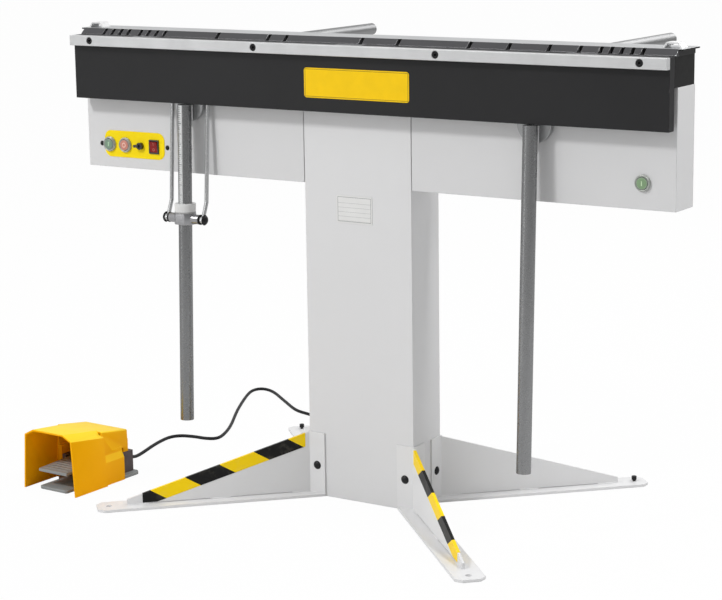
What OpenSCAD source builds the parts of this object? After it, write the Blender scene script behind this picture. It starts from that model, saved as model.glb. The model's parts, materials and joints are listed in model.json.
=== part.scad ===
// Magnetic sheet metal brake on a pedestal, with a clamp bar, a swinging bending beam,
// an angle stop on one pull handle and a foot switch on a cable. Millimetres, +Z up.
// Origin: floor level, at the centre of the column. The operator stands at -Y.

/* [Bending line] */
// Height of the working surface above the floor
work_h = 885; // [820:5:950]
// Length of the magnet, the bending beam and the clamp bar
bend_w = 1300; // [1200:10:1500]

/* [Column] */
// Width of the column
col_w = 237.3; // [200:0.1:280]
// Depth of the column
col_d = 98.4; // [90:0.1:120]
// Sheet thickness of the column
col_wall = 3; // [2:0.5:5]
// Thickness of the plate that carries the magnet
col_top_t = 8; // [6:1:12]
// Thickness of the closing plate at the floor
col_floor_t = 5; // [3:1:8]

/* [Feet] */
// Reach of a foot from the column's corner, along the diagonal
foot_reach = 420; // [360:5:480]
// Half of the width of a foot's base plate
foot_half_w = 28; // [24:1:36]
// Thickness of a foot's base plate
foot_base_t = 5; // [4:0.5:8]
// Thickness of a foot's upright web
foot_web_t = 5; // [3:0.5:6]
// Height of the web at the column
foot_web_h = 126; // [110:1:140]
// Height of a foot's bolting flange
flange_h = 127; // [115:1:145]
// Width of a foot's bolting flange
flange_w = 36; // [32:1:45]
// Thickness of a foot's bolting flange
flange_t = 3; // [2:0.5:5]
// Radius of the anchor hole in each foot
anchor_r = 6; // [5:0.5:8]
// Distance of the anchor hole from the column's corner
anchor_reach = 397; // [380:1:400]
// Width of the warning tape on a front foot
tape_w = 25; // [15:1:30]

/* [Magnet] */
// Height of the magnet block
magnet_h = 53; // [48:1:65]
// How far the magnet stands in front of the column
magnet_lead = 13; // [11:0.5:20]
// Thickness of each outer pole
pole_t = 20; // [18:0.5:24]
// Width of the coil groove
groove_w = 14; // [12:0.5:16]
// Depth of the coil groove
groove_d = 34; // [28:1:38]
// Depth of the filler bar that closes the groove
filler_h = 8; // [5:1:12]
// Length of the black block at each end of the magnet
end_t = 12; // [8:1:18]

/* [Side boxes] */
// Height of the boxes under the magnet
box_h = 214; // [180:1:240]
// Depth of the boxes with their rear covers
box_d = 70.4; // [66:0.1:90]
// Sheet thickness of the boxes
box_wall = 2; // [1.5:0.5:3]
// Sheet thickness of the rear covers
cover_t = 1.5; // [1:0.5:2]
// Width of the lip round a box's rear opening
lip_w = 14; // [10:1:20]

/* [Bending beam] */
// Thickness of the bending beam
beam_t = 20; // [18:1:26]
// Height of the bending beam
beam_h = 126; // [110:1:135]
// Height of the extension strip
strip_h = 20; // [16:1:26]
// Thickness of the extension strip
strip_t = 14; // [12:1:18]
// How far the strip stands out past each end of the beam
strip_over = 0; // [0:1:8]
// Radius of the half-round hinge shoes
shoe_r = 14; // [12:0.5:15]
// Length of each hinge shoe
shoe_len = 60; // [40:5:80]
// Running clearance of the hinge shoes
hinge_gap = 0.05; // [0.03:0.01:0.08]

/* [Handles] */
// Distance of each pull handle from the machine's centre
handle_x = 382; // [340:1:440]
// Outer radius of the handle tube
tube_r = 13.5; // [12:0.5:15]
// Wall of the handle tube
tube_wall = 2.6; // [2:0.2:4]
// Length of the handle tube
tube_len = 630; // [560:5:700]
// Lean of the handle towards the operator, in degrees
tube_lean = 2; // [1:0.5:4]
// Half of the width of the plate behind each handle
gusset_r = 34; // [30:1:36]
// Thickness of the plate behind each handle
gusset_t = 8; // [6:0.5:9]

/* [Angle stop] */
// Distance of the yoke from the top of the tube
yoke_drop = 224.3; // [210:0.1:240]
// Height of the yoke block
yoke_h = 22; // [18:1:26]
// Outer radius of the stop collar
collar_r = 21; // [18:0.5:24]
// Height of the stop collar
collar_h = 19; // [14:1:24]
// Running clearance of the collar and the yoke on the tube
slide_gap = 0.06; // [0.04:0.01:0.1]
// Radius of the link rods
rod_r = 4; // [3:0.5:4.5]
// Distance of each rod from the tube's centre line
rod_off = 43; // [41.5:0.5:46]

/* [Clamp bar] */
// Thickness of the clamp bar
bar_t = 12; // [10:0.5:16]
// Set-back of the clamp bar's nose from the hinge axis
nose_back = 2.2; // [1.8:0.1:6]
// Height of the blunt nose
nose_h = 1.5; // [1:0.1:2]
// Depth of the bevel behind the nose
bevel_d = 12; // [12:0.5:16]
// Width of the slots in the bevel
slot_w = 8; // [5:0.5:9]

/* [Controls] */
// Width of the control plate
panel_w = 152; // [140:1:180]
// Height of the control plate
panel_h = 53.5; // [48:0.5:60]
// Radius of the push-button caps
cap_r = 10.6; // [9:0.1:11.5]
// Thickness of the plates for print
plate_t = 0.8; // [0.5:0.1:1.5]

/* [Rear stops] */
// Distance of each rear arm from the machine's centre
arm_x = 356; // [300:1:450]
// Outer radius of the rear arms
arm_r = 12.5; // [10:0.5:15]
// Wall of the rear arms
arm_wall = 2.5; // [2:0.5:4]
// Length of the rear arms behind the magnet
arm_len = 551; // [450:1:650]

/* [Foot switch] */
// Distance of the foot switch from the machine's centre
pedal_x = 570; // [560:1:640]
// Distance of the foot switch's mouth in front of the column's centre
pedal_front = 306; // [300:1:420]
// Turn of the foot switch on the floor, clockwise from above, in degrees
pedal_turn = 2.4; // [0:0.1:10]
// Half of the width of the hood's mouth at the floor
hood_half_w = 69.5; // [66:0.5:85]
// Height of the hood's mouth
hood_h = 123; // [118:1:135]
// Wall of the hood
hood_wall = 3; // [2:0.5:4]
// Radius of the cable
cable_r = 3.5; // [2.5:0.5:4]

/* [Hidden] */
$fn = 48;

// Overrun of every cut past the face it opens
over = 1;
// Clearance between pieces that only lie beside each other
seat_gap = 0.2;
// Length of a shank inside its own head
root = 1;
// Clearance of a screw in its hole
screw_gap = 0.25;
// Gap on each side of the hinge axis, between the beam and the magnet
axis_gap = 0.5;

// Places that follow from the sizes
col_front = -col_d / 2;
col_back = col_d / 2;
magnet_front = col_front - magnet_lead;
magnet_back = col_front + box_d;
magnet_under = work_h - magnet_h;
box_under = magnet_under - box_h;
axis_y = magnet_front - axis_gap;
axis_z = work_h;
beam_back = axis_y - axis_gap;
beam_front = beam_back - beam_t;
beam_under = work_h - beam_h;
strip_front = beam_front - strip_t;
strip_under = work_h - strip_h;
magnet_half = bend_w / 2 - end_t;

// Column
col_top_cable_r = 12;
seam_gap = 1.8;
bolt_r = 4;
bolt_head_r = 6.5;
bolt_head_h = 4.2;
bolt_grip = 16;
bolt_z = 61;
magnet_bolt_x = 80;

// Feet
web_toe_back = 58;
web_toe_h = 16;
web_lift = 1.5;
web_tab_shares = [[0, 0.105], [0.437, 0.547], [0.884, 1]];
foot_chamfer = 12;
flange_bolt_head_r = 8.5;
level_r = 3;
level_up = 8;
level_head_r = 5;
level_head_h = 7;
level_socket_r = 2.5;
level_socket_d = 4;
tape_t = 0.4;
tape_start = 10;
tape_end = 332;
tape_foot_gap = 1;

// Magnet
coil_h = 25.5;
end_corner_r = 4;
groove_half = groove_w + (box_d + magnet_lead - 2 * pole_t - 2 * groove_w) / 2;
magnet_mid = (magnet_front + magnet_back) / 2;
shoe_places_share = [-0.369, 0, 0.369];

// Side boxes
box_screw_r = 2;
box_screw_head_r = 4;
box_screw_head_h = 2.4;
box_screw_inset = 7;
box_screws = 4;

// Inner pieces of the left box
core_x = -235;
core_w = 96;
core_d = 34;
core_h = 80;
core_leg = 16;
core_gap = 0.5;
winding_out = 12;
cap_can_r = 19;
cap_can_h = 82;
cap_can_step = 46;
cap_can_x = -342;
rect_x = -430;
rect_w = 40;
rect_h = 60;
rect_d = 22;
rect_fin_t = 3;
rect_fins = 5;

// Controls on the left box
box_end_x = -bend_w / 2;
panel_in = 118.25;
panel_x = box_end_x + panel_in;
panel_up = 47.75;
panel_z = box_under + panel_up;
panel_corner = 16;
control_up = 46.5;
control_z = box_under + control_up;
start_in = 55.5;
start_x = box_end_x + start_in;
stop_in = 95.4;
stop_x = box_end_x + stop_in;
selector_in = 134.8;
selector_x = box_end_x + selector_in;
rocker_in = 168.4;
rocker_x = box_end_x + rocker_in;
screw_left_in = 34;
screw_left_x = box_end_x + screw_left_in;
screw_right_in = 201;
screw_right_x = box_end_x + screw_right_in;
remote_in = 62.5;
panel_screw_r = 2;
panel_screw_head_r = 5;
panel_screw_head_h = 3;
remote_x = bend_w / 2 - remote_in;
bezel_r = 13;
remote_bezel_r = 15;
bezel_h = 4.5;
cap_gap = 0.1;
cap_stand = 2;
cap_body = 13;
hole_gap = 0.4;
knob_r = 7;
knob_h = 7;
knob_lever = 12;
knob_lever_w = 5;
knob_lever_h = 4;
knob_shaft_r = 4;
knob_shaft_h = 9;
knob_gap = 0.06;
rocker_frame_w = 24;
rocker_frame_h = 28;
rocker_frame_t = 2.5;
rocker_w = 18;
rocker_h = 21;
rocker_clear = 0.8;
rocker_side = 0.3;
rocker_deep = 8;
rocker_stand = 3.4;
rocker_tilt = 7;
rocker_dish = 0.5;

// Plates
name_x = 22;
name_w = 230;
name_up = 54;
name_z = beam_under + name_up;
name_h = 56;
name_corner = 6;
rating_x = -7.25;
rating_w = 79.5;
rating_down = 45.25;
rating_z = box_under - rating_down;
rating_h = 52.5;
rating_corner = 1.5;

// Bending beam
beam_corner = 3;
strip_chamfer = 0.8;
strip_screw_share = [-0.4615, -0.1538, 0.1538, 0.4615];
strip_screw_drop = 9.5;
cap_screw_head_r = 6.5;
cap_screw_bore_gap = 0.7;
cap_screw_head_h = 8;
cap_screw_sink = 0.6;
cap_screw_r = 4;
cap_screw_len = 18;
socket_r = 3.2;
socket_d = 4;

// Handle brackets
gusset_up = 41;
gusset_screw_off = 21;
gusset_screw_up = 22;
csk_r = 4;
csk_head_r = 8;
csk_head_h = 4;
csk_len = 18;
tube_top = beam_under - axis_gap * 4;
tube_axis_y = beam_back - tube_r;

// Angle stop
tube_bore_gap = slide_gap;
yoke_half_x = 20;
yoke_half_y = 18;
yoke_cut = 9;
trunnion_r = 9.5;
trunnion_end = 36;
side_gap = 0.5;
eye_t = 8.4;
eye_r = 7.5;
top_eye_r = 6;
bush_r = 10;
dome_r = 10.5;
dome_h = 6;
link_pin_r = 2.5;
link_pin_gap = 0.05;
link_up = 44;
elbow_back = 13.5;
elbow_up = 33.2;
ear_t = 4;
ear_gap = 1;
ear_foot_t = 3;
ear_foot_h = 24;
ear_foot_w = 18;
collar_gap = 0.3;
collar_screw_r = 3;
collar_screw_head_r = 5;
collar_screw_head_h = 5;
pivot_y = magnet_front + rod_r + 2;
pivot_z = tube_top + link_up + 2;
yoke_y = tube_axis_y - yoke_drop * sin(tube_lean);
yoke_z = tube_top - yoke_drop * cos(tube_lean);
elbow_y = yoke_y + elbow_back;
elbow_z = yoke_z + elbow_up;

// Clamp bar
bar_lip = 8;
bar_lip_t = 3;
bar_back = magnet_back;
slot_margin_left = 57.5;
slot_margin_right = 62.5;
slot_gap_shares = [2, 2, 2, 3, 2, 2, 2, 13, 12, 4, 17, 8, 15, 8, 8, 6, 4, 2, 2, 2, 2];
nose_y = axis_y + nose_back;
bevel_back = nose_y + bevel_d;
lift_len = 36;
lift_w = 25;
lift_rise = 10;
lift_t = 2.5;
lift_run = 7;
lift_edge = 18;
lift_front = 27;

// Rear arms
arm_drop = 25;
arm_cap_h = 5;
arm_foot_w = 66;
arm_foot_h = 44;
arm_foot_t = 8;
arm_screw_off = 23;

// Foot switch
hood_top_half = 40;
hood_side_h = 111.5;
hood_side_half = 62.5;
hood_front_len = 94;
hood_fall = 10.5;
hood_side_fall = 12.5;
hood_top_widen = 5;
hood_rear_end = 170;
hood_rear_half = 59;
hood_rear_corner = 2;
hood_rear_taper = 2.5;
hood_rear_h = 111;
hood_rear_fall = 12;
hood_rear_low = 64.5;
rear_lip_len = 11;
rear_lip_h = 26;
rear_lip_half = 48;
lug_half = 65;
lug_end = 150;
lug_h = 47;
lug_top_h = 68;
lug_slope = 6;
lug_slope_h = 13;
slice = 0.01;
base_half = 50;
base_nose_half = 37;
base_flange_half = 64;
base_t = 6.5;
base_front = 9;
base_end = 200;
base_corner = 8;
base_nose_end = 70;
body_half = 50;
body_front = 92;
body_end = 193;
body_h = 50;
body_floor = 13;
body_slot = 40;
treadle_half = 37;
treadle_t = 5.5;
treadle_nose = 10;
treadle_nose_z = 36.5;
treadle_nose_r = 3.5;
treadle_heel_z = 41;
treadle_pivot_in = 112;
treadle_pivot_z = 33;
treadle_rib = 1.2;
treadle_ribs = 6;
treadle_rib_step = 11;
pedal_pin_r = 3;
pin_gap = 0.05;
gland_r = 8;
gland_len = 22;
gland_z = 26;
column_gland_z = 55;
cable_ring = 22;

// Route of the cable's centre line on the floor, from the foot switch to the column
floor_z = cable_r + 0.2;
pedal_heading = [sin(pedal_turn), cos(pedal_turn), 0];
pedal_exit = [-pedal_x, -pedal_front, gland_z] + (body_end + gland_len) * pedal_heading;
cable_route = [
    pedal_exit, pedal_exit + gland_len / 2 * pedal_heading, [-571, -48, 10], [-580, -12, floor_z],
    [-602, 70, floor_z], [-610, 126, floor_z], [-597, 152, floor_z], [-568, 161, floor_z],
    [-537, 163, floor_z], [-518, 174, floor_z], [-521, 204, floor_z], [-552, 274, floor_z],
    [-620, 394, floor_z], [-676, 505, floor_z], [-696, 560, floor_z], [-684, 584, floor_z],
    [-645, 571, floor_z], [-578, 518, floor_z], [-507, 462, floor_z], [-460, 444, floor_z],
    [-400, 428, floor_z], [-300, 380, floor_z], [-190, 300, floor_z], [-90, 200, floor_z],
    [-24, 141, floor_z], [-6, 123, 15], [0, 103, 40],
    [0, col_back + 3 / 2 * gland_len, column_gland_z - 2], [0, col_back + gland_len, column_gland_z]
];

// Helpers

// Flat outline with one corner radius, built from two bars and four discs
module round_rect(w, h, r) {
    square([w - 2 * r, h], center = true);
    square([w, h - 2 * r], center = true);
    for (sx = [-1, 1], sy = [-1, 1])
        translate([sx * (w / 2 - r), sy * (h / 2 - r)])
            circle(r);
}

// Extrudes an outline drawn in (y, z) along X, centred on x = 0
module along_x(len) {
    rotate([90, 0, 90])
        linear_extrude(len, center = true)
            children();
}

// Stands what is drawn on the floor upright, facing the operator
module facing(x, y, z) {
    translate([x, y, z])
        rotate([90, 0, 0])
            children();
}

// Rod with round section between two points of the (y, z) plane
module yz_rod(y0, z0, y1, z1, r) {
    len = sqrt((y1 - y0) * (y1 - y0) + (z1 - z0) * (z1 - z0));
    translate([0, y0, z0])
        rotate([atan2(-(y1 - y0), z1 - z0), 0, 0])
            cylinder(r = r, h = len);
}

// Low domed head that stands on its flat face
module dome(r, h) {
    ball = (r * r + h * h) / (2 * h);
    intersection() {
        translate([0, 0, h - ball])
            sphere(ball);
        cylinder(r = r, h = h);
    }
}

// Domed screw with its head's seat at z = 0 and its shank below
module dome_screw(r, len, head_r, head_h) {
    dome(head_r, head_h);
    translate([0, 0, -len])
        cylinder(r = r, h = len + head_h / 2);
}

// Frame of the handle tube: origin at the tube's top, -Z down its centre line
module on_tube(side) {
    translate([side * handle_x, tube_axis_y, tube_top])
        rotate([-tube_lean, 0, 0])
            children();
}

// Column
module column() {
    color([0.72, 0.73, 0.74])
    difference() {
        translate([-col_w / 2, -col_d / 2, 0])
            cube([col_w, col_d, magnet_under]);
        translate([-col_w / 2 + col_wall, -col_d / 2 + col_wall, col_floor_t])
            cube([col_w - 2 * col_wall, col_d - 2 * col_wall, magnet_under - col_floor_t - col_top_t]);
        translate([0, 0, magnet_under - col_top_t - over])
            cylinder(r = col_top_cable_r, h = col_top_t + 2 * over);
        for (s = [-1, 1], t = [-1, 1])
            translate([s * magnet_bolt_x, t * bolt_head_r * 2 + magnet_mid, magnet_under - col_top_t - over])
                cylinder(r = bolt_r + screw_gap, h = col_top_t + 2 * over);
        foot_bolt_places()
            translate([0, 0, -col_wall - flange_t - over])
                cylinder(r = bolt_r + screw_gap, h = col_wall + flange_t + 2 * over);
        translate([0, col_back - col_wall - over, column_gland_z])
            rotate([-90, 0, 0])
                cylinder(r = cable_r + hole_gap, h = col_wall + 2 * over);
    }
}

// Places of the bolts on the flanges, with +Z out of the flange's face
module foot_bolt_places() {
    for (sx = [-1, 1], sy = [-1, 1]) {
        translate([sx * (col_w / 2 - flange_w / 2), sy * (col_d / 2 + flange_t), bolt_z])
            rotate([-sy * 90, 0, 0])
                children();
        translate([sx * (col_w / 2 + flange_t), sy * (col_d / 2 - flange_w / 2), bolt_z])
            rotate([0, sx * 90, 0])
                children();
    }
}

// Places of the bolts that hold the magnet from below
module magnet_bolt_places() {
    for (s = [-1, 1], t = [-1, 1])
        translate([s * magnet_bolt_x, t * bolt_head_r * 2 + magnet_mid, magnet_under - col_top_t])
            rotate([180, 0, 0])
                children();
}

module column_bolts() {
    color([0.1, 0.1, 0.11]) {
        foot_bolt_places()
            dome_screw(bolt_r, bolt_grip, flange_bolt_head_r, bolt_head_h);
        magnet_bolt_places()
            dome_screw(bolt_r, bolt_grip, bolt_head_r, bolt_head_h);
    }
}

// Side view of a foot's web: along the diagonal and up, standing on three tabs
module web_outline() {
    polygon([[0, foot_base_t + web_lift], [0, foot_web_h], [web_toe, web_toe_h], [web_toe, foot_base_t + web_lift]]);
    for (t = web_tab_shares)
        translate([web_toe * t[0], 0])
            square([web_toe * (t[1] - t[0]), foot_base_t + 2 * web_lift]);
}

// Base plate seen from above, from the flanges' outer ends to the tip
module foot_plate() {
    tip = [[foot_reach - foot_chamfer, -foot_half_w], [foot_reach, -foot_half_w + foot_chamfer],
        [foot_reach, foot_half_w - foot_chamfer], [foot_reach - foot_chamfer, foot_half_w]];
    polygon(concat([[0, 0], [0, -flange_w], [flange_t, -flange_w]],
        [for (p = tip) [(p[0] - p[1]) / sqrt(2), (p[0] + p[1]) / sqrt(2)]],
        [[-flange_w, flange_t], [-flange_w, 0]]));
}

// One foot, drawn for the corner at +X and +Y and mirrored to the others
module foot(sx, sy) {
    mirror([sx < 0 ? 1 : 0, 0, 0])
    mirror([0, sy < 0 ? 1 : 0, 0])
    difference() {
        union() {
            translate([col_w / 2 - flange_w, col_d / 2, 0])
                cube([flange_w + flange_t, flange_t, flange_h]);
            translate([col_w / 2, col_d / 2 - flange_w, 0])
                cube([flange_t, flange_w + flange_t, flange_h]);
            translate([col_w / 2, col_d / 2, 0]) {
                linear_extrude(foot_base_t)
                    foot_plate();
                rotate([90, 0, 45])
                    linear_extrude(foot_web_t, center = true)
                        web_outline();
            }
        }
        translate([col_w / 2, col_d / 2, 0])
            rotate([0, 0, 45])
                translate([anchor_reach, 0, -over])
                    cylinder(r = sy < 0 ? anchor_r : level_r + screw_gap, h = foot_base_t + 2 * over);
        translate([col_w / 2 - flange_w / 2, col_d / 2 - over, bolt_z])
            rotate([-90, 0, 0])
                cylinder(r = bolt_r + screw_gap, h = flange_t + 2 * over);
        translate([col_w / 2 - over, col_d / 2 - flange_w / 2, bolt_z])
            rotate([0, 90, 0])
                cylinder(r = bolt_r + screw_gap, h = flange_t + 2 * over);
        translate([0, 0, -over])
            linear_extrude(flange_h + 2 * over)
                square([col_w, col_d], center = true);
    }
}

module foot_front_left() {
    color([0.78, 0.79, 0.8]) foot(-1, -1);
}

module foot_front_right() {
    color([0.78, 0.79, 0.8]) foot(1, -1);
}

module foot_rear_left() {
    color([0.78, 0.79, 0.8]) foot(-1, 1);
}

module foot_rear_right() {
    color([0.78, 0.79, 0.8]) foot(1, 1);
}

// Socket-headed levelling screws in the rear feet
module levelling_screws() {
    color([0.09, 0.09, 0.1])
    for (sx = [-1, 1])
        translate([sx * col_w / 2, col_d / 2, 0])
            rotate([0, 0, sx > 0 ? 45 : 135])
                translate([anchor_reach, 0, 0])
                    difference() {
                        union() {
                            cylinder(r = level_r, h = level_up);
                            translate([0, 0, level_up])
                                cylinder(r = level_head_r, h = level_head_h);
                        }
                        translate([0, 0, level_up + level_head_h - level_socket_d])
                            cylinder(r = level_socket_r, h = level_socket_d + over, $fn = 6);
                    }
}

// Height of the web's upper edge at one distance from the column's corner
web_toe = foot_reach - web_toe_back;
web_rate = (foot_web_h - web_toe_h) / web_toe;
function web_top(u) = foot_web_h - web_rate * u;
tape_fall = tape_w * sqrt(1 + web_rate * web_rate);
tape_low = foot_base_t + web_lift + tape_foot_gap;

// Side view of the tape, standing higher than the web's edge by one amount
module tape_outline(rise, extra) {
    polygon([[tape_start - extra, web_top(tape_start - extra) + rise],
        [tape_end + extra, web_top(tape_end + extra) + rise], [tape_end + extra, tape_low - extra],
        [(foot_web_h - tape_fall - tape_low) / web_rate, tape_low - extra],
        [tape_start - extra, web_top(tape_start - extra) - tape_fall - extra]]);
}

// Tape folded over the upper edge of a front web
module tape_strip() {
    rotate([90, 0, 0])
        difference() {
            linear_extrude(foot_web_t + 2 * tape_t, center = true)
                tape_outline(tape_t, 0);
            linear_extrude(foot_web_t, center = true)
                tape_outline(0, over);
        }
}

module hazard_tapes() {
    color([0.95, 0.8, 0.05])
    for (sx = [-1, 1])
        translate([sx * col_w / 2, -col_d / 2, 0])
            rotate([0, 0, sx > 0 ? -45 : -135])
                tape_strip();
}

// Racetrack outline of half-width r that ends flush with the poles
module racetrack(r, half_len) {
    square([2 * (half_len - r), 2 * r], center = true);
    for (s = [-1, 1])
        translate([s * (half_len - r), 0])
            circle(r);
}

// Ring in the groove, drawn in by a gap on every side
module groove_ring(h, gap) {
    linear_extrude(h)
        difference() {
            racetrack(groove_half - gap, magnet_half - pole_t - gap);
            racetrack(groove_half - groove_w + gap, magnet_half - pole_t - groove_w + gap);
        }
}

// Half-round shoes and the pockets that they turn in
module shoe_row(r, len) {
    for (p = shoe_places_share)
        translate([p * bend_w, axis_y, axis_z])
            rotate([0, 90, 0])
                cylinder(r = r, h = len, center = true);
}

module magnet_body() {
    color([0.13, 0.13, 0.14])
    difference() {
        translate([-magnet_half, magnet_front, magnet_under])
            cube([2 * magnet_half, box_d + magnet_lead, magnet_h]);
        translate([0, magnet_mid, work_h - groove_d])
            groove_ring(groove_d + over, 0);
        shoe_row(shoe_r + hinge_gap, shoe_len + 2 * seat_gap);
        magnet_bolt_places()
            translate([0, 0, -bolt_grip - over])
                cylinder(r = bolt_r + screw_gap, h = bolt_grip + over);
        arm_screw_places()
            translate([0, 0, -arm_foot_t - bolt_grip - over])
                cylinder(r = bolt_r + screw_gap, h = bolt_grip + over + arm_foot_t);
    }
}

module magnet_coil() {
    color([0.72, 0.4, 0.2])
    translate([0, magnet_mid, work_h - groove_d])
        groove_ring(coil_h, seat_gap);
}

module pole_filler() {
    color([0.75, 0.75, 0.76])
    translate([0, magnet_mid, work_h - filler_h])
        groove_ring(filler_h, cap_gap);
}

module magnet_end_blocks() {
    color([0.05, 0.05, 0.055])
    for (s = [0, 1])
        mirror([s, 0, 0])
            translate([magnet_half, magnet_front, magnet_under])
                linear_extrude(magnet_h)
                    union() {
                        square([end_t, box_d + magnet_lead - end_corner_r]);
                        square([end_t - end_corner_r, box_d + magnet_lead]);
                        translate([end_t - end_corner_r, box_d + magnet_lead - end_corner_r])
                            circle(end_corner_r);
                    }
}

// Length of a side box from the column to the magnet's end
box_len = bend_w / 2 - col_w / 2 - seam_gap;

// Sheet shell of a side box, open at the back inside a lip, from x = 0 outwards
module box_shell() {
    depth = box_d - cover_t;
    difference() {
        cube([box_len, depth, box_h]);
        translate([box_wall, box_wall, box_wall])
            cube([box_len - 2 * box_wall, depth - 2 * box_wall, box_h - 2 * box_wall]);
        translate([lip_w, depth - box_wall - over, lip_w])
            cube([box_len - 2 * lip_w, box_wall + 2 * over, box_h - 2 * lip_w]);
        box_screw_places()
            translate([0, 0, -cover_t - box_wall - over])
                cylinder(r = box_screw_r + screw_gap, h = cover_t + box_wall + 2 * over);
    }
}

// Places of the cover's screws in the frame of the shell, +Z out of the back
module box_screw_places() {
    for (i = [0 : box_screws - 1], t = [0, 1])
        translate([box_screw_inset + i * (box_len - 2 * box_screw_inset) / (box_screws - 1), box_d,
            t * (box_h - 2 * box_screw_inset) + box_screw_inset])
            rotate([-90, 0, 0])
                children();
}

module box_cover() {
    difference() {
        translate([0, box_d - cover_t, 0])
            cube([box_len, cover_t, box_h]);
        box_screw_places()
            translate([0, 0, -cover_t - over])
                cylinder(r = box_screw_r + screw_gap, h = cover_t + 2 * over);
    }
}

// Puts what is drawn for one box on its side of the column
module on_box(side) {
    mirror([side < 0 ? 1 : 0, 0, 0])
        translate([col_w / 2 + seam_gap, col_front, box_under])
            children();
}

// Round cut through a box's front wall and whatever lies on it
module front_hole(x, z, r) {
    facing(x, col_front + box_wall + over, z)
        cylinder(r = r, h = box_wall + plate_t + 2 * over);
}

module left_box() {
    color([0.82, 0.83, 0.84])
    difference() {
        on_box(-1) box_shell();
        front_hole(start_x, control_z, cap_r + hole_gap);
        front_hole(stop_x, control_z, cap_r + hole_gap);
        front_hole(selector_x, control_z, knob_shaft_r + knob_gap);
        front_hole(screw_left_x, control_z, panel_screw_r + screw_gap);
        front_hole(screw_right_x, control_z, panel_screw_r + screw_gap);
        rocker_window(rocker_clear);
        link_foot_holes();
    }
}

module left_box_cover() {
    color([0.8, 0.81, 0.82])
    on_box(-1) box_cover();
}

module right_box() {
    color([0.82, 0.83, 0.84])
    difference() {
        on_box(1) box_shell();
        front_hole(remote_x, control_z, cap_r + hole_gap);
    }
}

module right_box_cover() {
    color([0.8, 0.81, 0.82])
    on_box(1) box_cover();
}

module cover_screws() {
    color([0.6, 0.6, 0.62])
    for (s = [-1, 1])
        on_box(s)
            box_screw_places()
                dome_screw(box_screw_r, cover_t + 2 * box_wall, box_screw_head_r, box_screw_head_h);
}

// Laminated core with its two windows
module transformer_core() {
    color([0.35, 0.36, 0.38])
    translate([core_x - core_w / 2, col_front + box_wall + winding_out + seat_gap, box_under + box_wall])
        difference() {
            cube([core_w, core_d, core_h]);
            for (s = [0, 1])
                translate([core_leg + s * (core_w - core_leg) / 2, -over, core_leg])
                    cube([(core_w - 3 * core_leg) / 2, core_d + 2 * over, core_h - 2 * core_leg]);
        }
}

// Winding round the middle leg of the core
module transformer_windings() {
    window = (core_w - 3 * core_leg) / 2;
    color([0.6, 0.35, 0.15])
    translate([core_x, col_front + box_wall + winding_out + seat_gap + core_d / 2,
        box_under + box_wall + core_leg + core_gap])
        linear_extrude(core_h - 2 * core_leg - 2 * core_gap)
            difference() {
                round_rect(core_leg + 2 * window - 2 * core_gap, core_d + 2 * winding_out, core_leg / 4);
                square([core_leg + 2 * core_gap, core_d + 2 * core_gap], center = true);
            }
}

module capacitors() {
    color([0.62, 0.64, 0.66])
    for (i = [0, 1])
        translate([cap_can_x - i * cap_can_step, (col_front + magnet_back) / 2, box_under + box_wall]) {
            cylinder(r = cap_can_r, h = cap_can_h);
            for (t = [-1, 1])
                translate([t * cap_can_r / 2, 0, cap_can_h])
                    cylinder(r = bolt_r, h = bolt_head_r);
        }
}

// Bridge rectifier on its finned heat sink
module rectifier() {
    color([0.2, 0.2, 0.22])
    translate([rect_x - rect_w / 2, col_front + box_wall, box_under + box_h / 2])
        union() {
            cube([rect_w, rect_fin_t, rect_h]);
            for (i = [0 : rect_fins - 1])
                translate([i * (rect_w - rect_fin_t) / (rect_fins - 1), 0, 0])
                    cube([rect_fin_t, rect_d, rect_h]);
        }
}

// Window in the plate and the box front for the rocker switch
module rocker_window(gap) {
    translate([rocker_x - rocker_w / 2 - gap, col_front - plate_t - over, control_z - rocker_h / 2 - gap])
        cube([rocker_w + 2 * gap, plate_t + box_wall + 2 * over, rocker_h + 2 * gap]);
}

module control_plate() {
    color([0.98, 0.82, 0.05])
    difference() {
        facing(panel_x, col_front, panel_z)
            linear_extrude(plate_t)
                round_rect(panel_w, panel_h, panel_corner);
        front_hole(start_x, control_z, cap_r + hole_gap);
        front_hole(stop_x, control_z, cap_r + hole_gap);
        front_hole(selector_x, control_z, knob_shaft_r + knob_gap);
        rocker_window(rocker_clear);
    }
}

module panel_screws() {
    color([0.07, 0.07, 0.07])
    for (x = [screw_left_x, screw_right_x])
        facing(x, col_front, control_z)
            dome_screw(panel_screw_r, box_wall * 4, panel_screw_head_r, panel_screw_head_h);
}

// Ring round a push button
module bezel(x, y, r) {
    facing(x, y, control_z)
        difference() {
            cylinder(r1 = r, r2 = r - bezel_h / 4, h = bezel_h);
            translate([0, 0, -over])
                cylinder(r = cap_r + cap_gap, h = bezel_h + 2 * over);
        }
}

module button_bezels() {
    color([0.12, 0.12, 0.13]) {
        bezel(start_x, col_front - plate_t, bezel_r);
        bezel(stop_x, col_front - plate_t, bezel_r);
        bezel(remote_x, col_front, remote_bezel_r);
    }
}

// Push-button cap with a slightly domed face
module button_cap(x, y) {
    facing(x, y + cap_body, control_z)
        union() {
            cylinder(r = cap_r, h = cap_body + bezel_h + cap_stand / 2);
            translate([0, 0, cap_body + bezel_h + cap_stand / 2])
                dome(cap_r, cap_stand / 2);
        }
}

module start_button() {
    color([0.05, 0.5, 0.2]) button_cap(start_x, col_front - plate_t);
}

module stop_button() {
    color([0.75, 0.08, 0.08]) button_cap(stop_x, col_front - plate_t);
}

module remote_button() {
    color([0.05, 0.5, 0.2]) button_cap(remote_x, col_front);
}

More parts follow.
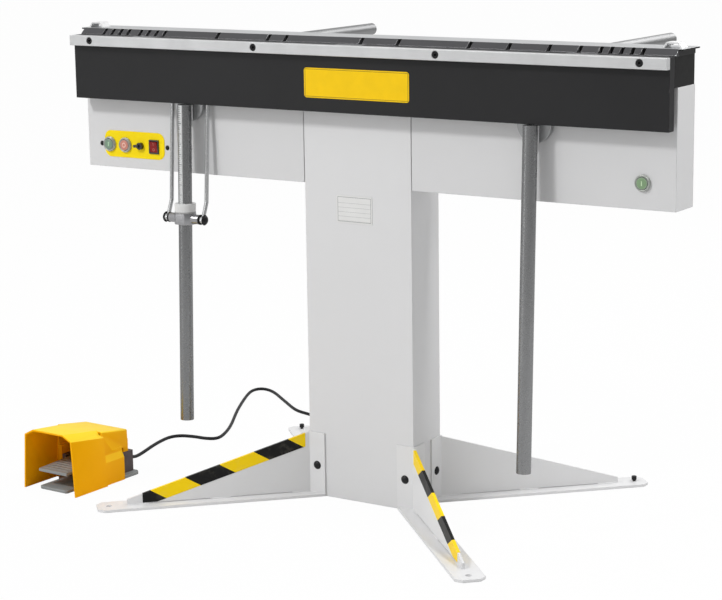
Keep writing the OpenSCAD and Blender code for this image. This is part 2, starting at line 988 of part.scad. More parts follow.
// Selector with a short lever that points to the left at rest
module selector_knob() {
    color([0.06, 0.06, 0.06])
    facing(selector_x, col_front - plate_t, control_z)
        union() {
            cylinder(r = knob_r, h = knob_h);
            translate([-knob_lever, -knob_lever_w / 2, knob_h - knob_lever_h])
                cube([knob_lever, knob_lever_w, knob_lever_h * 2]);
            translate([0, 0, -knob_shaft_h])
                cylinder(r = knob_shaft_r, h = knob_shaft_h + root);
        }
}

module rocker_frame() {
    color([0.08, 0.03, 0.03])
    difference() {
        facing(rocker_x, col_front - plate_t, control_z)
            linear_extrude(rocker_frame_t)
                difference() {
                    round_rect(rocker_frame_w, rocker_frame_h, rocker_frame_t / 2);
                    square([rocker_w + 2 * rocker_side, rocker_h + 2 * rocker_clear], center = true);
                }
    }
}

// Rocker with two shallow faces, tipped to one side about its own axis
module rocker_switch() {
    color([0.6, 0.05, 0.04])
    translate([rocker_x, col_front - plate_t, control_z])
        rotate([rocker_tilt, 0, 0])
            along_x(rocker_w)
                polygon([[-rocker_stand + rocker_dish, 0], [-rocker_stand, rocker_h / 2],
                    [0, rocker_h / 2], [rocker_deep, rocker_h / 4],
                    [rocker_deep, -rocker_h / 4], [0, -rocker_h / 2],
                    [-rocker_stand, -rocker_h / 2]]);
}

module name_plate() {
    color([0.98, 0.82, 0.05])
    facing(name_x, beam_front, name_z)
        linear_extrude(plate_t)
            round_rect(name_w, name_h, name_corner);
}

module rating_plate() {
    color([0.9, 0.9, 0.9])
    facing(rating_x, col_front, rating_z)
        linear_extrude(plate_t)
            round_rect(rating_w, rating_h, rating_corner);
}

// Places of the strip's screws, with +Z out of the strip's front face
module strip_screw_places() {
    for (p = strip_screw_share)
        facing(p * bend_w, strip_front, work_h - strip_screw_drop)
            children();
}

// Places of the screws that hold the handle plates, +Z out of the plate's back
module bracket_screw_places() {
    for (s = [-1, 1], t = [-1, 1])
        translate([s * handle_x + t * gusset_screw_off, beam_back + gusset_t, beam_under + gusset_screw_up])
            rotate([-90, 0, 0])
                children();
}

module bending_beam() {
    color([0.12, 0.12, 0.13])
    difference() {
        along_x(bend_w)
            union() {
                translate([beam_front, beam_under])
                    square([beam_t - beam_corner, beam_h]);
                translate([beam_front, beam_under + beam_corner])
                    square([beam_t, beam_h - beam_corner]);
                translate([beam_back - beam_corner, beam_under + beam_corner])
                    circle(beam_corner);
            }
        shoe_row(shoe_r + hinge_gap, shoe_len + 2 * seat_gap);
        strip_screw_places()
            translate([0, 0, -strip_t - cap_screw_len + cap_screw_head_h])
                cylinder(r = cap_screw_r + screw_gap, h = cap_screw_len);
        bracket_screw_places()
            translate([0, 0, -csk_len - over])
                cylinder(r = csk_r + screw_gap, h = csk_len);
    }
}

module extension_strip() {
    color([0.72, 0.73, 0.74])
    difference() {
        along_x(bend_w + 2 * strip_over)
            polygon([[beam_front, strip_under], [beam_front, work_h],
                [strip_front + strip_chamfer, work_h], [strip_front, work_h - strip_chamfer],
                [strip_front, strip_under + strip_chamfer], [strip_front + strip_chamfer, strip_under]]);
        strip_screw_places() {
            translate([0, 0, -strip_t - over])
                cylinder(r = cap_screw_r + screw_gap, h = strip_t + 2 * over);
            translate([0, 0, -cap_screw_head_h - cap_screw_sink])
                cylinder(r = cap_screw_head_r + cap_screw_bore_gap, h = cap_screw_head_h + cap_screw_sink + over);
        }
    }
}

module strip_screws() {
    color([0.06, 0.06, 0.07])
    strip_screw_places()
        translate([0, 0, -cap_screw_head_h - cap_screw_sink])
            difference() {
                union() {
                    cylinder(r = cap_screw_head_r, h = cap_screw_head_h);
                    translate([0, 0, cap_screw_head_h - cap_screw_len])
                        cylinder(r = cap_screw_r, h = cap_screw_len - root);
                }
                translate([0, 0, cap_screw_head_h - socket_d])
                    cylinder(r = socket_r, h = socket_d + over, $fn = 6);
            }
}

// Lower halves of three discs on the hinge axis
module hinge_shoes() {
    color([0.6, 0.61, 0.63])
    difference() {
        shoe_row(shoe_r, shoe_len);
        translate([-bend_w / 2, axis_y - shoe_r - over, axis_z])
            cube([bend_w, 2 * shoe_r + 2 * over, shoe_r + over]);
    }
}

// Plate with a half-round lower end that carries a pull handle
module handle_brackets() {
    color([0.6, 0.61, 0.62])
    difference() {
        for (s = [-1, 1])
            translate([s * handle_x, beam_back + gusset_t, tube_top])
                rotate([90, 0, 0])
                    linear_extrude(gusset_t)
                        union() {
                            translate([-gusset_r, 0])
                                square([2 * gusset_r, gusset_up + axis_gap * 4]);
                            intersection() {
                                circle(gusset_r);
                                translate([-gusset_r, -gusset_r])
                                    square([2 * gusset_r, gusset_r]);
                            }
                        }
        bracket_screw_places() {
            translate([0, 0, -gusset_t - over])
                cylinder(r = csk_r + screw_gap, h = gusset_t + 2 * over);
            translate([0, 0, -csk_head_h])
                cylinder(r1 = csk_r + screw_gap, r2 = csk_head_r + screw_gap, h = csk_head_h);
        }
    }
}

module bracket_screws() {
    color([0.1, 0.1, 0.11])
    bracket_screw_places() {
        translate([0, 0, -csk_head_h])
            cylinder(r1 = csk_r, r2 = csk_head_r, h = csk_head_h);
        translate([0, 0, -csk_len])
            cylinder(r = csk_r, h = csk_len - csk_head_h);
    }
}

module handle_tube(side) {
    on_tube(side)
        translate([0, 0, -tube_len])
            difference() {
                cylinder(r = tube_r, h = tube_len);
                translate([0, 0, -over])
                    cylinder(r = tube_r - tube_wall, h = tube_len + 2 * over);
            }
}

module left_handle_tube() {
    color([0.66, 0.67, 0.68]) handle_tube(-1);
}

module right_handle_tube() {
    color([0.66, 0.67, 0.68]) handle_tube(1);
}

// Collar that the yoke pushes up the graduated tube
module angle_collar() {
    color([0.88, 0.88, 0.86])
    on_tube(-1)
        translate([0, 0, -yoke_drop + yoke_h / 2 + collar_gap])
            difference() {
                union() {
                    cylinder(r = collar_r, h = collar_h - strip_chamfer);
                    translate([0, 0, collar_h - strip_chamfer])
                        cylinder(r1 = collar_r, r2 = collar_r - strip_chamfer, h = strip_chamfer);
                }
                translate([0, 0, -over])
                    cylinder(r = tube_r + tube_bore_gap, h = collar_h + 2 * over);
                translate([0, 0, collar_h / 2])
                    rotate([-90, 0, 0])
                        cylinder(r = collar_screw_r + screw_gap, h = collar_r + over);
            }
}

// Knurled thumb screw in the back of the collar
module collar_screw() {
    color([0.2, 0.2, 0.21])
    on_tube(-1)
        translate([0, 0, -yoke_drop + yoke_h / 2 + collar_gap + collar_h / 2])
            rotate([-90, 0, 0]) {
                translate([0, 0, tube_r + tube_bore_gap + seat_gap])
                    cylinder(r = collar_screw_r, h = collar_r - tube_r);
                translate([0, 0, collar_r])
                    cylinder(r = collar_screw_head_r, h = collar_screw_head_h);
            }
}

// Eight-sided block with a trunnion on each side
module stop_yoke() {
    color([0.62, 0.62, 0.63])
    on_tube(-1)
        translate([0, 0, -yoke_drop])
            difference() {
                union() {
                    linear_extrude(yoke_h, center = true)
                        polygon([[-yoke_half_x, -yoke_half_y + yoke_cut], [-yoke_half_x + yoke_cut, -yoke_half_y],
                            [yoke_half_x - yoke_cut, -yoke_half_y], [yoke_half_x, -yoke_half_y + yoke_cut],
                            [yoke_half_x, yoke_half_y - yoke_cut], [yoke_half_x - yoke_cut, yoke_half_y],
                            [-yoke_half_x + yoke_cut, yoke_half_y], [-yoke_half_x, yoke_half_y - yoke_cut]]);
                    rotate([0, 90, 0])
                        cylinder(r = trunnion_r, h = 2 * trunnion_end, center = true);
                }
                cylinder(r = tube_r + tube_bore_gap, h = yoke_h + 2 * over, center = true);
            }
}

// Places of the two rods, with +X outwards from the tube
module rod_sides() {
    for (s = [0, 1])
        translate([-handle_x, 0, 0])
            mirror([s, 0, 0])
                children();
}

// Rods with an eye at each end and a bend above the yoke
module link_rods() {
    color([0.7, 0.71, 0.72])
    rod_sides()
        difference() {
            union() {
                translate([rod_off, 0, 0]) {
                    yz_rod(pivot_y, pivot_z, elbow_y, elbow_z, rod_r);
                    translate([0, elbow_y, elbow_z])
                        sphere(rod_r);
                    yz_rod(elbow_y, elbow_z, yoke_y, yoke_z, rod_r);
                }
                translate([rod_off - eye_t / 2, pivot_y, pivot_z])
                    rotate([0, 90, 0])
                        cylinder(r = top_eye_r, h = eye_t);
                translate([rod_off - eye_t / 2, yoke_y, yoke_z])
                    rotate([0, 90, 0])
                        cylinder(r = eye_r, h = eye_t);
            }
            translate([rod_off - eye_t, pivot_y, pivot_z])
                rotate([0, 90, 0])
                    cylinder(r = link_pin_r + link_pin_gap, h = 2 * eye_t);
            translate([rod_off - eye_t, yoke_y, yoke_z])
                rotate([0, 90, 0])
                    cylinder(r = bolt_r + screw_gap, h = 2 * eye_t);
        }
}

// Rubber washers between the rods' lower eyes and the trunnions
module link_bushes() {
    color([0.05, 0.05, 0.05])
    rod_sides()
        translate([trunnion_end + side_gap, yoke_y, yoke_z])
            rotate([0, 90, 0])
                difference() {
                    cylinder(r = bush_r, h = rod_off - eye_t / 2 - trunnion_end - side_gap);
                    translate([0, 0, -over])
                        cylinder(r = bolt_r + screw_gap, h = rod_off);
                }
}

// Domed bolts through the rods' lower eyes
module link_bolts() {
    color([0.06, 0.06, 0.07])
    rod_sides()
        translate([rod_off + eye_t / 2, yoke_y, yoke_z])
            rotate([0, 90, 0]) {
                dome(dome_r, dome_h);
                translate([0, 0, trunnion_end + side_gap - rod_off - eye_t / 2])
                    cylinder(r = bolt_r, h = rod_off + eye_t / 2 - trunnion_end - side_gap + root);
            }
}

// Holes for the rivets of the pivot brackets
module link_foot_holes() {
    rod_sides()
        for (t = [-1, 1])
            translate([rod_off + eye_t / 2 + ear_gap + ear_foot_w / 2 + ear_t / 2,
                col_front - ear_foot_t - over, pivot_z + t * ear_foot_h / 4])
                rotate([-90, 0, 0])
                    cylinder(r = link_pin_r + screw_gap, h = ear_foot_t + box_wall + 2 * over);
}

// Ears on the box front that carry the rods' upper pins
module link_brackets() {
    ear_in = rod_off + eye_t / 2 + ear_gap;
    color([0.3, 0.31, 0.32])
    difference() {
        rod_sides()
            union() {
                translate([ear_in, col_front - ear_foot_t, pivot_z - ear_foot_h / 2])
                    cube([ear_foot_w, ear_foot_t, ear_foot_h]);
                translate([ear_in, pivot_y, pivot_z])
                    rotate([0, 90, 0])
                        cylinder(r = top_eye_r, h = ear_t);
                translate([ear_in, pivot_y, pivot_z - top_eye_r])
                    cube([ear_t, col_front - pivot_y, 2 * top_eye_r]);
                translate([rod_off - eye_t / 2 - ear_gap, pivot_y, pivot_z])
                    rotate([0, 90, 0])
                        cylinder(r = link_pin_r, h = eye_t + 2 * ear_gap + root);
            }
        link_foot_holes();
    }
}

// Centres of the slots along the bar
function shares_up_to(n) = n <= 0 ? 0 : slot_gap_shares[n - 1] + shares_up_to(n - 1);
slot_unit = (bend_w - slot_margin_left - slot_margin_right) / shares_up_to(len(slot_gap_shares));
slot_xs = [for (i = [0 : len(slot_gap_shares)]) -bend_w / 2 + slot_margin_left + slot_unit * shares_up_to(i)];
slot_count = len(slot_xs);

module clamp_bar() {
    color([0.75, 0.76, 0.77])
    difference() {
        union() {
            translate([-bend_w / 2, bevel_back, work_h])
                cube([bend_w, bar_back - bevel_back, bar_t]);
            translate([-bend_w / 2 - bar_lip, bevel_back, work_h + bar_t - bar_lip_t])
                cube([bend_w + 2 * bar_lip, bar_back - bevel_back, bar_lip_t]);
        }
        for (x = slot_xs)
            translate([x, bevel_back, work_h - over])
                cylinder(r = slot_w / 2, h = bar_t + 2 * over);
    }
}

// Bevelled fingers between the slots
module clamp_fingers() {
    color([0.35, 0.36, 0.37])
    for (i = [0 : slot_count]) {
        x0 = i == 0 ? -bend_w / 2 : slot_xs[i - 1] + slot_w / 2;
        x1 = i == slot_count ? bend_w / 2 : slot_xs[i] - slot_w / 2;
        translate([(x0 + x1) / 2, 0, 0])
            along_x(x1 - x0)
                polygon([[nose_y, work_h], [nose_y, work_h + nose_h],
                    [bevel_back, work_h + bar_t], [bevel_back, work_h]]);
    }
}

// Low bridges to lift the bar by
module lifting_handles() {
    half = lift_len / 2;
    color([0.8, 0.8, 0.81])
    for (s = [-1, 1])
        translate([s * (bend_w / 2 - lift_edge), magnet_front + lift_front + lift_w, work_h + bar_t])
            rotate([90, 0, 0])
                linear_extrude(lift_w)
                    polygon([[-half, 0], [-half + lift_run, lift_rise], [half - lift_run, lift_rise],
                        [half, 0], [half - 1.3 * lift_t, 0], [half - lift_run - lift_t / 2, lift_rise - lift_t],
                        [-half + lift_run + lift_t / 2, lift_rise - lift_t], [-half + 1.3 * lift_t, 0]]);
}

// Places of the screws through the rear arms' feet, +Z out of the foot's back
module arm_screw_places() {
    for (s = [-1, 1], t = [-1, 1])
        translate([s * arm_x + t * arm_screw_off, magnet_back + arm_foot_t, work_h - arm_drop])
            rotate([-90, 0, 0])
                children();
}

// Tubes behind the magnet, each with a plate at its foot and a domed far end
module backstop_arms() {
    color([0.7, 0.71, 0.72])
    difference() {
        for (s = [-1, 1])
            translate([s * arm_x, magnet_back, work_h - arm_drop])
                rotate([-90, 0, 0])
                    difference() {
                        union() {
                            translate([-arm_foot_w / 2, -arm_foot_h / 2, 0])
                                cube([arm_foot_w, arm_foot_h, arm_foot_t]);
                            cylinder(r = arm_r, h = arm_len - arm_cap_h);
                            translate([0, 0, arm_len - arm_cap_h])
                                dome(arm_r, arm_cap_h);
                        }
                        translate([0, 0, -over])
                            cylinder(r = arm_r - arm_wall, h = arm_len - 2 * arm_cap_h + over);
                    }
        arm_screw_places()
            translate([0, 0, -arm_foot_t - over])
                cylinder(r = bolt_r + screw_gap, h = arm_foot_t + 2 * over);
    }
}

module arm_screws() {
    color([0.1, 0.1, 0.11])
    arm_screw_places()
        dome_screw(bolt_r, bolt_grip, bolt_head_r, bolt_head_h);
}

// Places the foot switch: y = 0 at its mouth, +Y towards the cable
module on_pedal() {
    translate([-pedal_x, -pedal_front, 0])
        rotate([0, 0, -pedal_turn])
            children();
}

// Thin slice of the hood's section at one depth
module hood_slice(y, low, side, side_h, top, top_h, wall, z0) {
    translate([0, y + slice, 0])
        rotate([90, 0, 0])
            linear_extrude(slice)
                polygon([[-low + wall, z0], [-side + wall, side_h - wall / 2], [-top + wall / 2, top_h - wall],
                    [top - wall / 2, top_h - wall], [side - wall, side_h - wall / 2], [low - wall, z0]]);
}

// Section of the wide front stretch, which gets lower by a share of its fall
module front_slice(y, share, wall, z0) {
    hood_slice(y, hood_half_w, hood_side_half, hood_side_h - share * hood_side_fall,
        hood_top_half + share * hood_top_widen, hood_h - share * hood_fall, wall, z0);
}

// Section of the narrow rear stretch, which gets lower and narrower by a share
module rear_slice(y, share, wall, z0) {
    half = hood_rear_half - share * hood_rear_taper;
    top_h = hood_rear_h - share * hood_rear_fall;
    hood_slice(y, half + hood_rear_corner / 2, half, top_h - hood_rear_corner, half - hood_rear_corner, top_h, wall, z0);
}

// Hood in two stretches with an upright shoulder between them
module hood_mass(wall, z0, z1) {
    hull() {
        front_slice(wall > 0 ? -over : 0, 0, wall, z0);
        front_slice(hood_front_len - wall, 1, wall, z0);
    }
    hull() {
        rear_slice(hood_front_len - hood_wall - wall / 2, 0, wall, z1);
        rear_slice(hood_rear_end - wall, 1, wall, z1);
    }
}

module pedal_hood() {
    color([0.95, 0.68, 0.02])
    on_pedal()
        union() {
            difference() {
                hood_mass(0, 0, hood_rear_low);
                hood_mass(hood_wall, -over, -over);
            }
            for (s = [0, 1])
                mirror([s, 0, 0])
                    translate([0, lug_end, 0])
                        rotate([90, 0, 0])
                            linear_extrude(lug_end - hood_front_len + hood_wall)
                                polygon([[body_half + seat_gap, 0], [lug_half, 0], [lug_half, lug_h],
                                    [lug_half - lug_slope, lug_h + lug_slope_h],
                                    [lug_half - lug_slope, lug_top_h], [body_half + seat_gap, lug_top_h]]);
            translate([-rear_lip_half, hood_rear_end - hood_wall, body_h + seat_gap])
                cube([2 * rear_lip_half, rear_lip_len + hood_wall, rear_lip_h]);
        }
}

module pedal_base() {
    half = [[base_nose_half - base_corner / 2, base_front], [base_nose_half, base_front + base_corner / 2],
        [base_nose_half, base_nose_end], [base_half, base_nose_end + base_corner],
        [base_half, lug_end + seat_gap], [base_flange_half, lug_end + seat_gap],
        [base_flange_half, base_end - base_corner], [base_flange_half - base_corner, base_end]];
    color([0.55, 0.57, 0.58])
    on_pedal()
        linear_extrude(base_t)
            polygon(concat(half, [for (i = [len(half) - 1 : -1 : 0]) [-half[i][0], half[i][1]]]));
}

// Switch housing with a slot in front for the treadle's arm
module pedal_switch_body() {
    color([0.25, 0.24, 0.26])
    on_pedal()
        difference() {
            translate([-body_half, body_front, base_t])
                cube([2 * body_half, body_end - body_front, body_h - base_t]);
            translate([-body_slot - seat_gap, body_front - over, body_floor])
                cube([2 * body_slot + 2 * seat_gap, body_slot + over, body_h]);
            translate([-body_half - over, treadle_pivot_in, treadle_pivot_z])
                rotate([0, 90, 0])
                    cylinder(r = pedal_pin_r + screw_gap, h = 2 * body_half + 2 * over);
        }
}

// Ribbed treadle that turns about a pin in the switch housing
module pedal_treadle() {
    run = treadle_pivot_in - treadle_nose;
    rise = treadle_heel_z - treadle_nose_z;
    color([0.58, 0.6, 0.61])
    on_pedal()
        difference() {
            union() {
                along_x(2 * treadle_half)
                    polygon([[treadle_nose, treadle_nose_z], [treadle_nose, treadle_nose_z + treadle_t],
                        [treadle_pivot_in, treadle_heel_z + treadle_t], [treadle_pivot_in, treadle_heel_z]]);
                translate([0, treadle_nose + treadle_nose_r, treadle_nose_z + treadle_t - treadle_nose_r])
                    rotate([0, 90, 0])
                        cylinder(r = treadle_nose_r, h = 2 * treadle_half, center = true);
                for (i = [0 : treadle_ribs - 1])
                    translate([0, treadle_nose + treadle_rib_step * (i + 1),
                        treadle_nose_z + treadle_t + rise * treadle_rib_step * (i + 1) / run])
                        rotate([0, 90, 0])
                            cylinder(r = treadle_rib, h = 2 * treadle_half - 2 * treadle_t, center = true);
                for (s = [-1, 1])
                    translate([s * (treadle_half - treadle_t / 2), 0, 0])
                        along_x(treadle_t)
                            union() {
                                translate([treadle_pivot_in, treadle_pivot_z])
                                    circle(2 * pedal_pin_r);
                                translate([treadle_pivot_in - 2 * pedal_pin_r, treadle_pivot_z])
                                    square([4 * pedal_pin_r, treadle_heel_z - treadle_pivot_z]);
                                polygon([[treadle_pivot_in / 2, treadle_nose_z],
                                    [treadle_pivot_in / 2, treadle_nose_z + rise / 2],
                                    [treadle_pivot_in, treadle_heel_z], [treadle_pivot_in, treadle_pivot_z]]);
                            }
            }
            translate([-treadle_half - over, treadle_pivot_in, treadle_pivot_z])
                rotate([0, 90, 0])
                    cylinder(r = pedal_pin_r + pin_gap, h = 2 * treadle_half + 2 * over);
        }
}

module pedal_pin() {
    color([0.7, 0.7, 0.72])
    on_pedal()
        translate([-body_half + seat_gap, treadle_pivot_in, treadle_pivot_z])
            rotate([0, 90, 0])
                cylinder(r = pedal_pin_r, h = 2 * body_half - 2 * seat_gap);
}

// Nut and tapered sleeve round the cable, along +Y
module cable_gland() {
    rotate([-90, 0, 0])
        union() {
            cylinder(r = gland_r, h = gland_len / 4, $fn = 6);
            cylinder(r1 = gland_r * 0.85, r2 = cable_r * 1.3, h = gland_len);
        }
}

// Gland on the foot switch and gland on the back of the column
module cable_glands() {
    color([0.06, 0.06, 0.06]) {
        on_pedal()
            translate([0, body_end, gland_z])
                cable_gland();
        translate([0, col_back, column_gland_z])
            cable_gland();
    }
}

// Smooth path through the route's points
function spline_at(p, i, t) =
    let (a = p[max(i - 1, 0)], b = p[i], c = p[i + 1], d = p[min(i + 2, len(p) - 1)])
    0.5 * (2 * b + (c - a) * t + (2 * a - 5 * b + 4 * c - d) * t * t + (3 * b - a - 3 * c + d) * t * t * t);
function span_steps(p, i) = max(1, round(norm(p[i + 1] - p[i]) / cable_ring));
cable_path = concat([for (i = [0 : len(cable_route) - 2])
    for (k = [0 : span_steps(cable_route, i) - 1])
        spline_at(cable_route, i, k / span_steps(cable_route, i))],
    [cable_route[len(cable_route) - 1]]);
cable_last = len(cable_path) - 1;
function heading(p, i) =
    i == 0 ? pedal_heading
    : i == cable_last ? [0, -1, 0]
    : (p[i + 1] - p[i - 1]) / norm(p[i + 1] - p[i - 1]);
function ring_at(c, h, n) =
    let (s = cross(h, [0, 0, 1]) / norm(cross(h, [0, 0, 1])), u = cross(s, h))
    [for (k = [0 : n - 1]) c + cable_r * (cos(360 * k / n) * s + sin(360 * k / n) * u)];

// Cable that lies on the floor, swept along its path as one tube
module pedal_cable() {
    n = 10;
    points = [for (i = [0 : cable_last]) each ring_at(cable_path[i], heading(cable_path, i), n)];
    sides = [for (i = [0 : cable_last - 1], k = [0 : n - 1], h = [0, 1])
        h == 0
            ? [i * n + k, i * n + (k + 1) % n, (i + 1) * n + (k + 1) % n]
            : [i * n + k, (i + 1) * n + (k + 1) % n, (i + 1) * n + k]];
    start_cap = [for (k = [1 : n - 2]) [0, k + 1, k]];
    end_cap = [for (k = [1 : n - 2]) [cable_last * n, cable_last * n + k, cable_last * n + k + 1]];
    color([0.05, 0.05, 0.05])
    polyhedron(points, concat(sides, start_cap, end_cap));
}

column();
foot_front_left();
foot_front_right();
foot_rear_left();
foot_rear_right();
column_bolts();
levelling_screws();
hazard_tapes();
magnet_body();
magnet_coil();
pole_filler();
magnet_end_blocks();
left_box();
left_box_cover();
right_box();
right_box_cover();
cover_screws();
transformer_core();
transformer_windings();
capacitors();
rectifier();
control_plate();
panel_screws();
button_bezels();
start_button();
stop_button();
selector_knob();
rocker_frame();
rocker_switch();
remote_button();
name_plate();
rating_plate();
bending_beam();
extension_strip();
strip_screws();
hinge_shoes();
handle_brackets();
bracket_screws();
left_handle_tube();
right_handle_tube();
angle_collar();
collar_screw();
stop_yoke();
link_rods();
link_bushes();
link_bolts();
link_brackets();
clamp_bar();
clamp_fingers();
lifting_handles();
backstop_arms();
arm_screws();
pedal_hood();
pedal_base();
pedal_treadle();
pedal_switch_body();
pedal_pin();
cable_glands();
pedal_cable();
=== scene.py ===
import json
import math

import bpy
from mathutils import Matrix, Vector

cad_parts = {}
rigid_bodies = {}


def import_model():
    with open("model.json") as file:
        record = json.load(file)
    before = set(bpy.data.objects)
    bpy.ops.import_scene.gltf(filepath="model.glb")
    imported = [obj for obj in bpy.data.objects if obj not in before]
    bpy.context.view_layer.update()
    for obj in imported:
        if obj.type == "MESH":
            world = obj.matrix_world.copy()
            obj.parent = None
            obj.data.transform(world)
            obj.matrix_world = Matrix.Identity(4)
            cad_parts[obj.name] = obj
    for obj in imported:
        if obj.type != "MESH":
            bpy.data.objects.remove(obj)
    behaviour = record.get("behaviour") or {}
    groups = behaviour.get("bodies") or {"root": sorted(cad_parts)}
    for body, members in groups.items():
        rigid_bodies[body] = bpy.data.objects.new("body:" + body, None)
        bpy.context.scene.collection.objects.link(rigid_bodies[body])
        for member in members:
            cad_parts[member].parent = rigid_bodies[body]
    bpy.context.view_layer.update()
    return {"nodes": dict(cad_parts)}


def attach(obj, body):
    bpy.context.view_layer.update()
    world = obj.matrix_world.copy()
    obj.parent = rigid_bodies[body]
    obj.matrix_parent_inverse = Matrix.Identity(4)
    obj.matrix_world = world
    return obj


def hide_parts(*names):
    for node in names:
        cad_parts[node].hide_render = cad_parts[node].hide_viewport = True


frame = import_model()
nodes = frame["nodes"]


# Camera: standing height, from the operator's right, with a long lens. Its place and
# focal length were solved from the straight edges of the machine.
focal_pixels, picture_width, sensor_width = 2088.07, 722, 36
pan, look_down, roll = 32.905, 11.594, -0.798
camera_data = bpy.data.cameras.new("camera")
camera_data.sensor_width = sensor_width
camera_data.lens = focal_pixels / picture_width * sensor_width
camera_data.clip_end = 200
camera = bpy.data.objects.new("camera", camera_data)
bpy.context.scene.collection.objects.link(camera)
camera.matrix_world = (
    Matrix.Translation((2.1153, -3.3111, 1.1977))
    @ Matrix.Rotation(math.radians(pan), 4, "Z")
    @ Matrix.Rotation(math.radians(90 - look_down), 4, "X")
    @ Matrix.Rotation(math.radians(roll), 4, "Z")
)
bpy.context.scene.camera = camera


# Foot switch cable: round black rubber lead that leaves the switch housing, lies
# loosely on the floor and goes into the gland on the back of the column.
class Signal:
    """A value that varies over a surface; arithmetic on it adds the nodes."""

    def __init__(self, wiring, socket):
        self.wiring = wiring
        self.socket = socket

    def maths(self, operation, *values):
        return self.wiring.add("ShaderNodeMath", {"operation": operation}, dict(enumerate(values)))

    def __add__(self, other):
        return self.maths("ADD", self, other)

    def __sub__(self, other):
        return self.maths("SUBTRACT", self, other)

    def __rsub__(self, other):
        return self.maths("SUBTRACT", other, self)

    def __mul__(self, other):
        return self.maths("MULTIPLY", self, other)

    def __mod__(self, other):
        return self.maths("FLOORED_MODULO", self, other)

    def __lt__(self, other):
        return self.maths("LESS_THAN", self, other)

    def __gt__(self, other):
        return self.maths("GREATER_THAN", self, other)

    def __abs__(self):
        return self.maths("ABSOLUTE", self)

    __radd__ = __add__
    __rmul__ = __mul__

    def larger(self, other):
        return self.maths("MAXIMUM", self, other)

    def limited(self):
        return self.maths("MINIMUM", self, 1.0).larger(0.0)

    def root(self):
        return self.maths("SQRT", self)


class Wiring:
    """A node tree, and the one way in which nodes are added to it."""

    def __init__(self, tree):
        self.tree = tree

    def add(self, kind, settings=None, sockets=None, out=0):
        node = self.tree.nodes.new(kind)
        for key, value in (settings or {}).items():
            setattr(node, key, value)
        for key, value in (sockets or {}).items():
            self.plug(node.inputs[key], value)
        return Signal(self, node.outputs[out])

    def plug(self, socket, value):
        if isinstance(value, Signal):
            self.tree.links.new(value.socket, socket)
        else:
            socket.default_value = value


class Finish(Wiring):
    """The surface of one kind of piece: a Principled shader and what feeds it."""

    def __init__(self, name, colour, rough, metal=0.0, constants=None):
        self.material = bpy.data.materials.new(name)
        self.material.use_nodes = True
        super().__init__(self.material.node_tree)
        self.shader = self.tree.nodes["Principled BSDF"]
        self.feed("Base Color", (*colour, 1.0))
        self.feed("Roughness", rough)
        self.feed("Metallic", metal)
        for socket, value in (constants or {}).items():
            self.feed(socket, value)
        self.place = self.add("ShaderNodeTexCoord", out="Object")
        self.rounded = None

    def feed(self, name, value):
        self.plug(self.shader.inputs[name], value)

    def axis(self, name):
        return self.add("ShaderNodeSeparateXYZ", None, {"Vector": self.place}, out=name)

    def noise(self, scale, detail=3.0, stretch=(1, 1, 1), rough=0.55):
        placed = self.add("ShaderNodeMapping", None, {"Vector": self.place, "Scale": stretch})
        return self.add("ShaderNodeTexNoise", None,
                        {"Vector": placed, "Scale": scale, "Detail": detail, "Roughness": rough})

    def blend(self, mask, first, second):
        colours = [c if isinstance(c, Signal) else (*c[:3], 1.0) for c in (first, second)]
        return self.add("ShaderNodeMix", {"data_type": "RGBA"},
                        {0: mask, 6: colours[0], 7: colours[1]}, out=2)

    def edges(self, radius):
        """Rounds the shading of the edges and returns a mask that is 1 along them."""
        self.rounded = self.add("ShaderNodeBevel", {"samples": 4}, {"Radius": radius})
        flat = self.add("ShaderNodeNewGeometry", out="True Normal")
        alike = self.add("ShaderNodeVectorMath", {"operation": "DOT_PRODUCT"},
                         {0: self.rounded, 1: flat}, out="Value")
        return ((1.0 - alike) * 6.0).limited()

    def bump(self, height, distance, strength):
        sockets = {"Height": height, "Distance": distance, "Strength": strength}
        if self.rounded is not None:
            sockets["Normal"] = self.rounded
        self.feed("Normal", self.add("ShaderNodeBump", None, sockets))


def shade_of(colour, share, lift=0.0):
    return [min(1, c * share + lift) for c in colour]


def dress(names, finish):
    for name in names:
        slots = nodes[name].data.materials
        slots.clear()
        slots.append(finish.material)


def rubber(name, colour, rough):
    skin = Finish(name, colour, rough, 0.0, {"Specular IOR Level": 0.16})
    cloud = skin.noise(60, 4)
    skin.feed("Base Color", skin.blend(cloud, shade_of(colour, 0.8), shade_of(colour, 1.4, 0.004)))
    skin.feed("Roughness", rough - 0.08 + 0.2 * cloud)
    skin.bump(skin.noise(1400, 2), 0.0001, 0.5)
    return skin


pedal_turn = math.radians(2.4)
pedal_heading = Vector((math.sin(pedal_turn), math.cos(pedal_turn), 0))
pedal_place = Vector((-570, -306, 26))
housing_face, sleeve_reach = 193, 22
pedal_exit = pedal_place + (housing_face + sleeve_reach) * pedal_heading
floor_height = 3.7
floor_route = [
    (-580, -12), (-602, 70), (-610, 126), (-597, 152), (-568, 161), (-537, 163), (-518, 174),
    (-521, 204), (-552, 274), (-620, 394), (-676, 505), (-696, 560), (-684, 584), (-645, 571),
    (-578, 518), (-507, 462), (-460, 444), (-400, 428), (-300, 380), (-190, 300), (-90, 200),
    (-24, 141)]
cable_route = (
    [tuple(pedal_exit), tuple(pedal_exit + 11 * pedal_heading), (-571, -48, 10)]
    + [(x, y, floor_height) for x, y in floor_route]
    + [(-6, 123, 15), (0, 103, 40), (0, 82.2, 53), (0, 71.2, 55)])
cable_points = [Vector(p) / 1000 for p in cable_route]


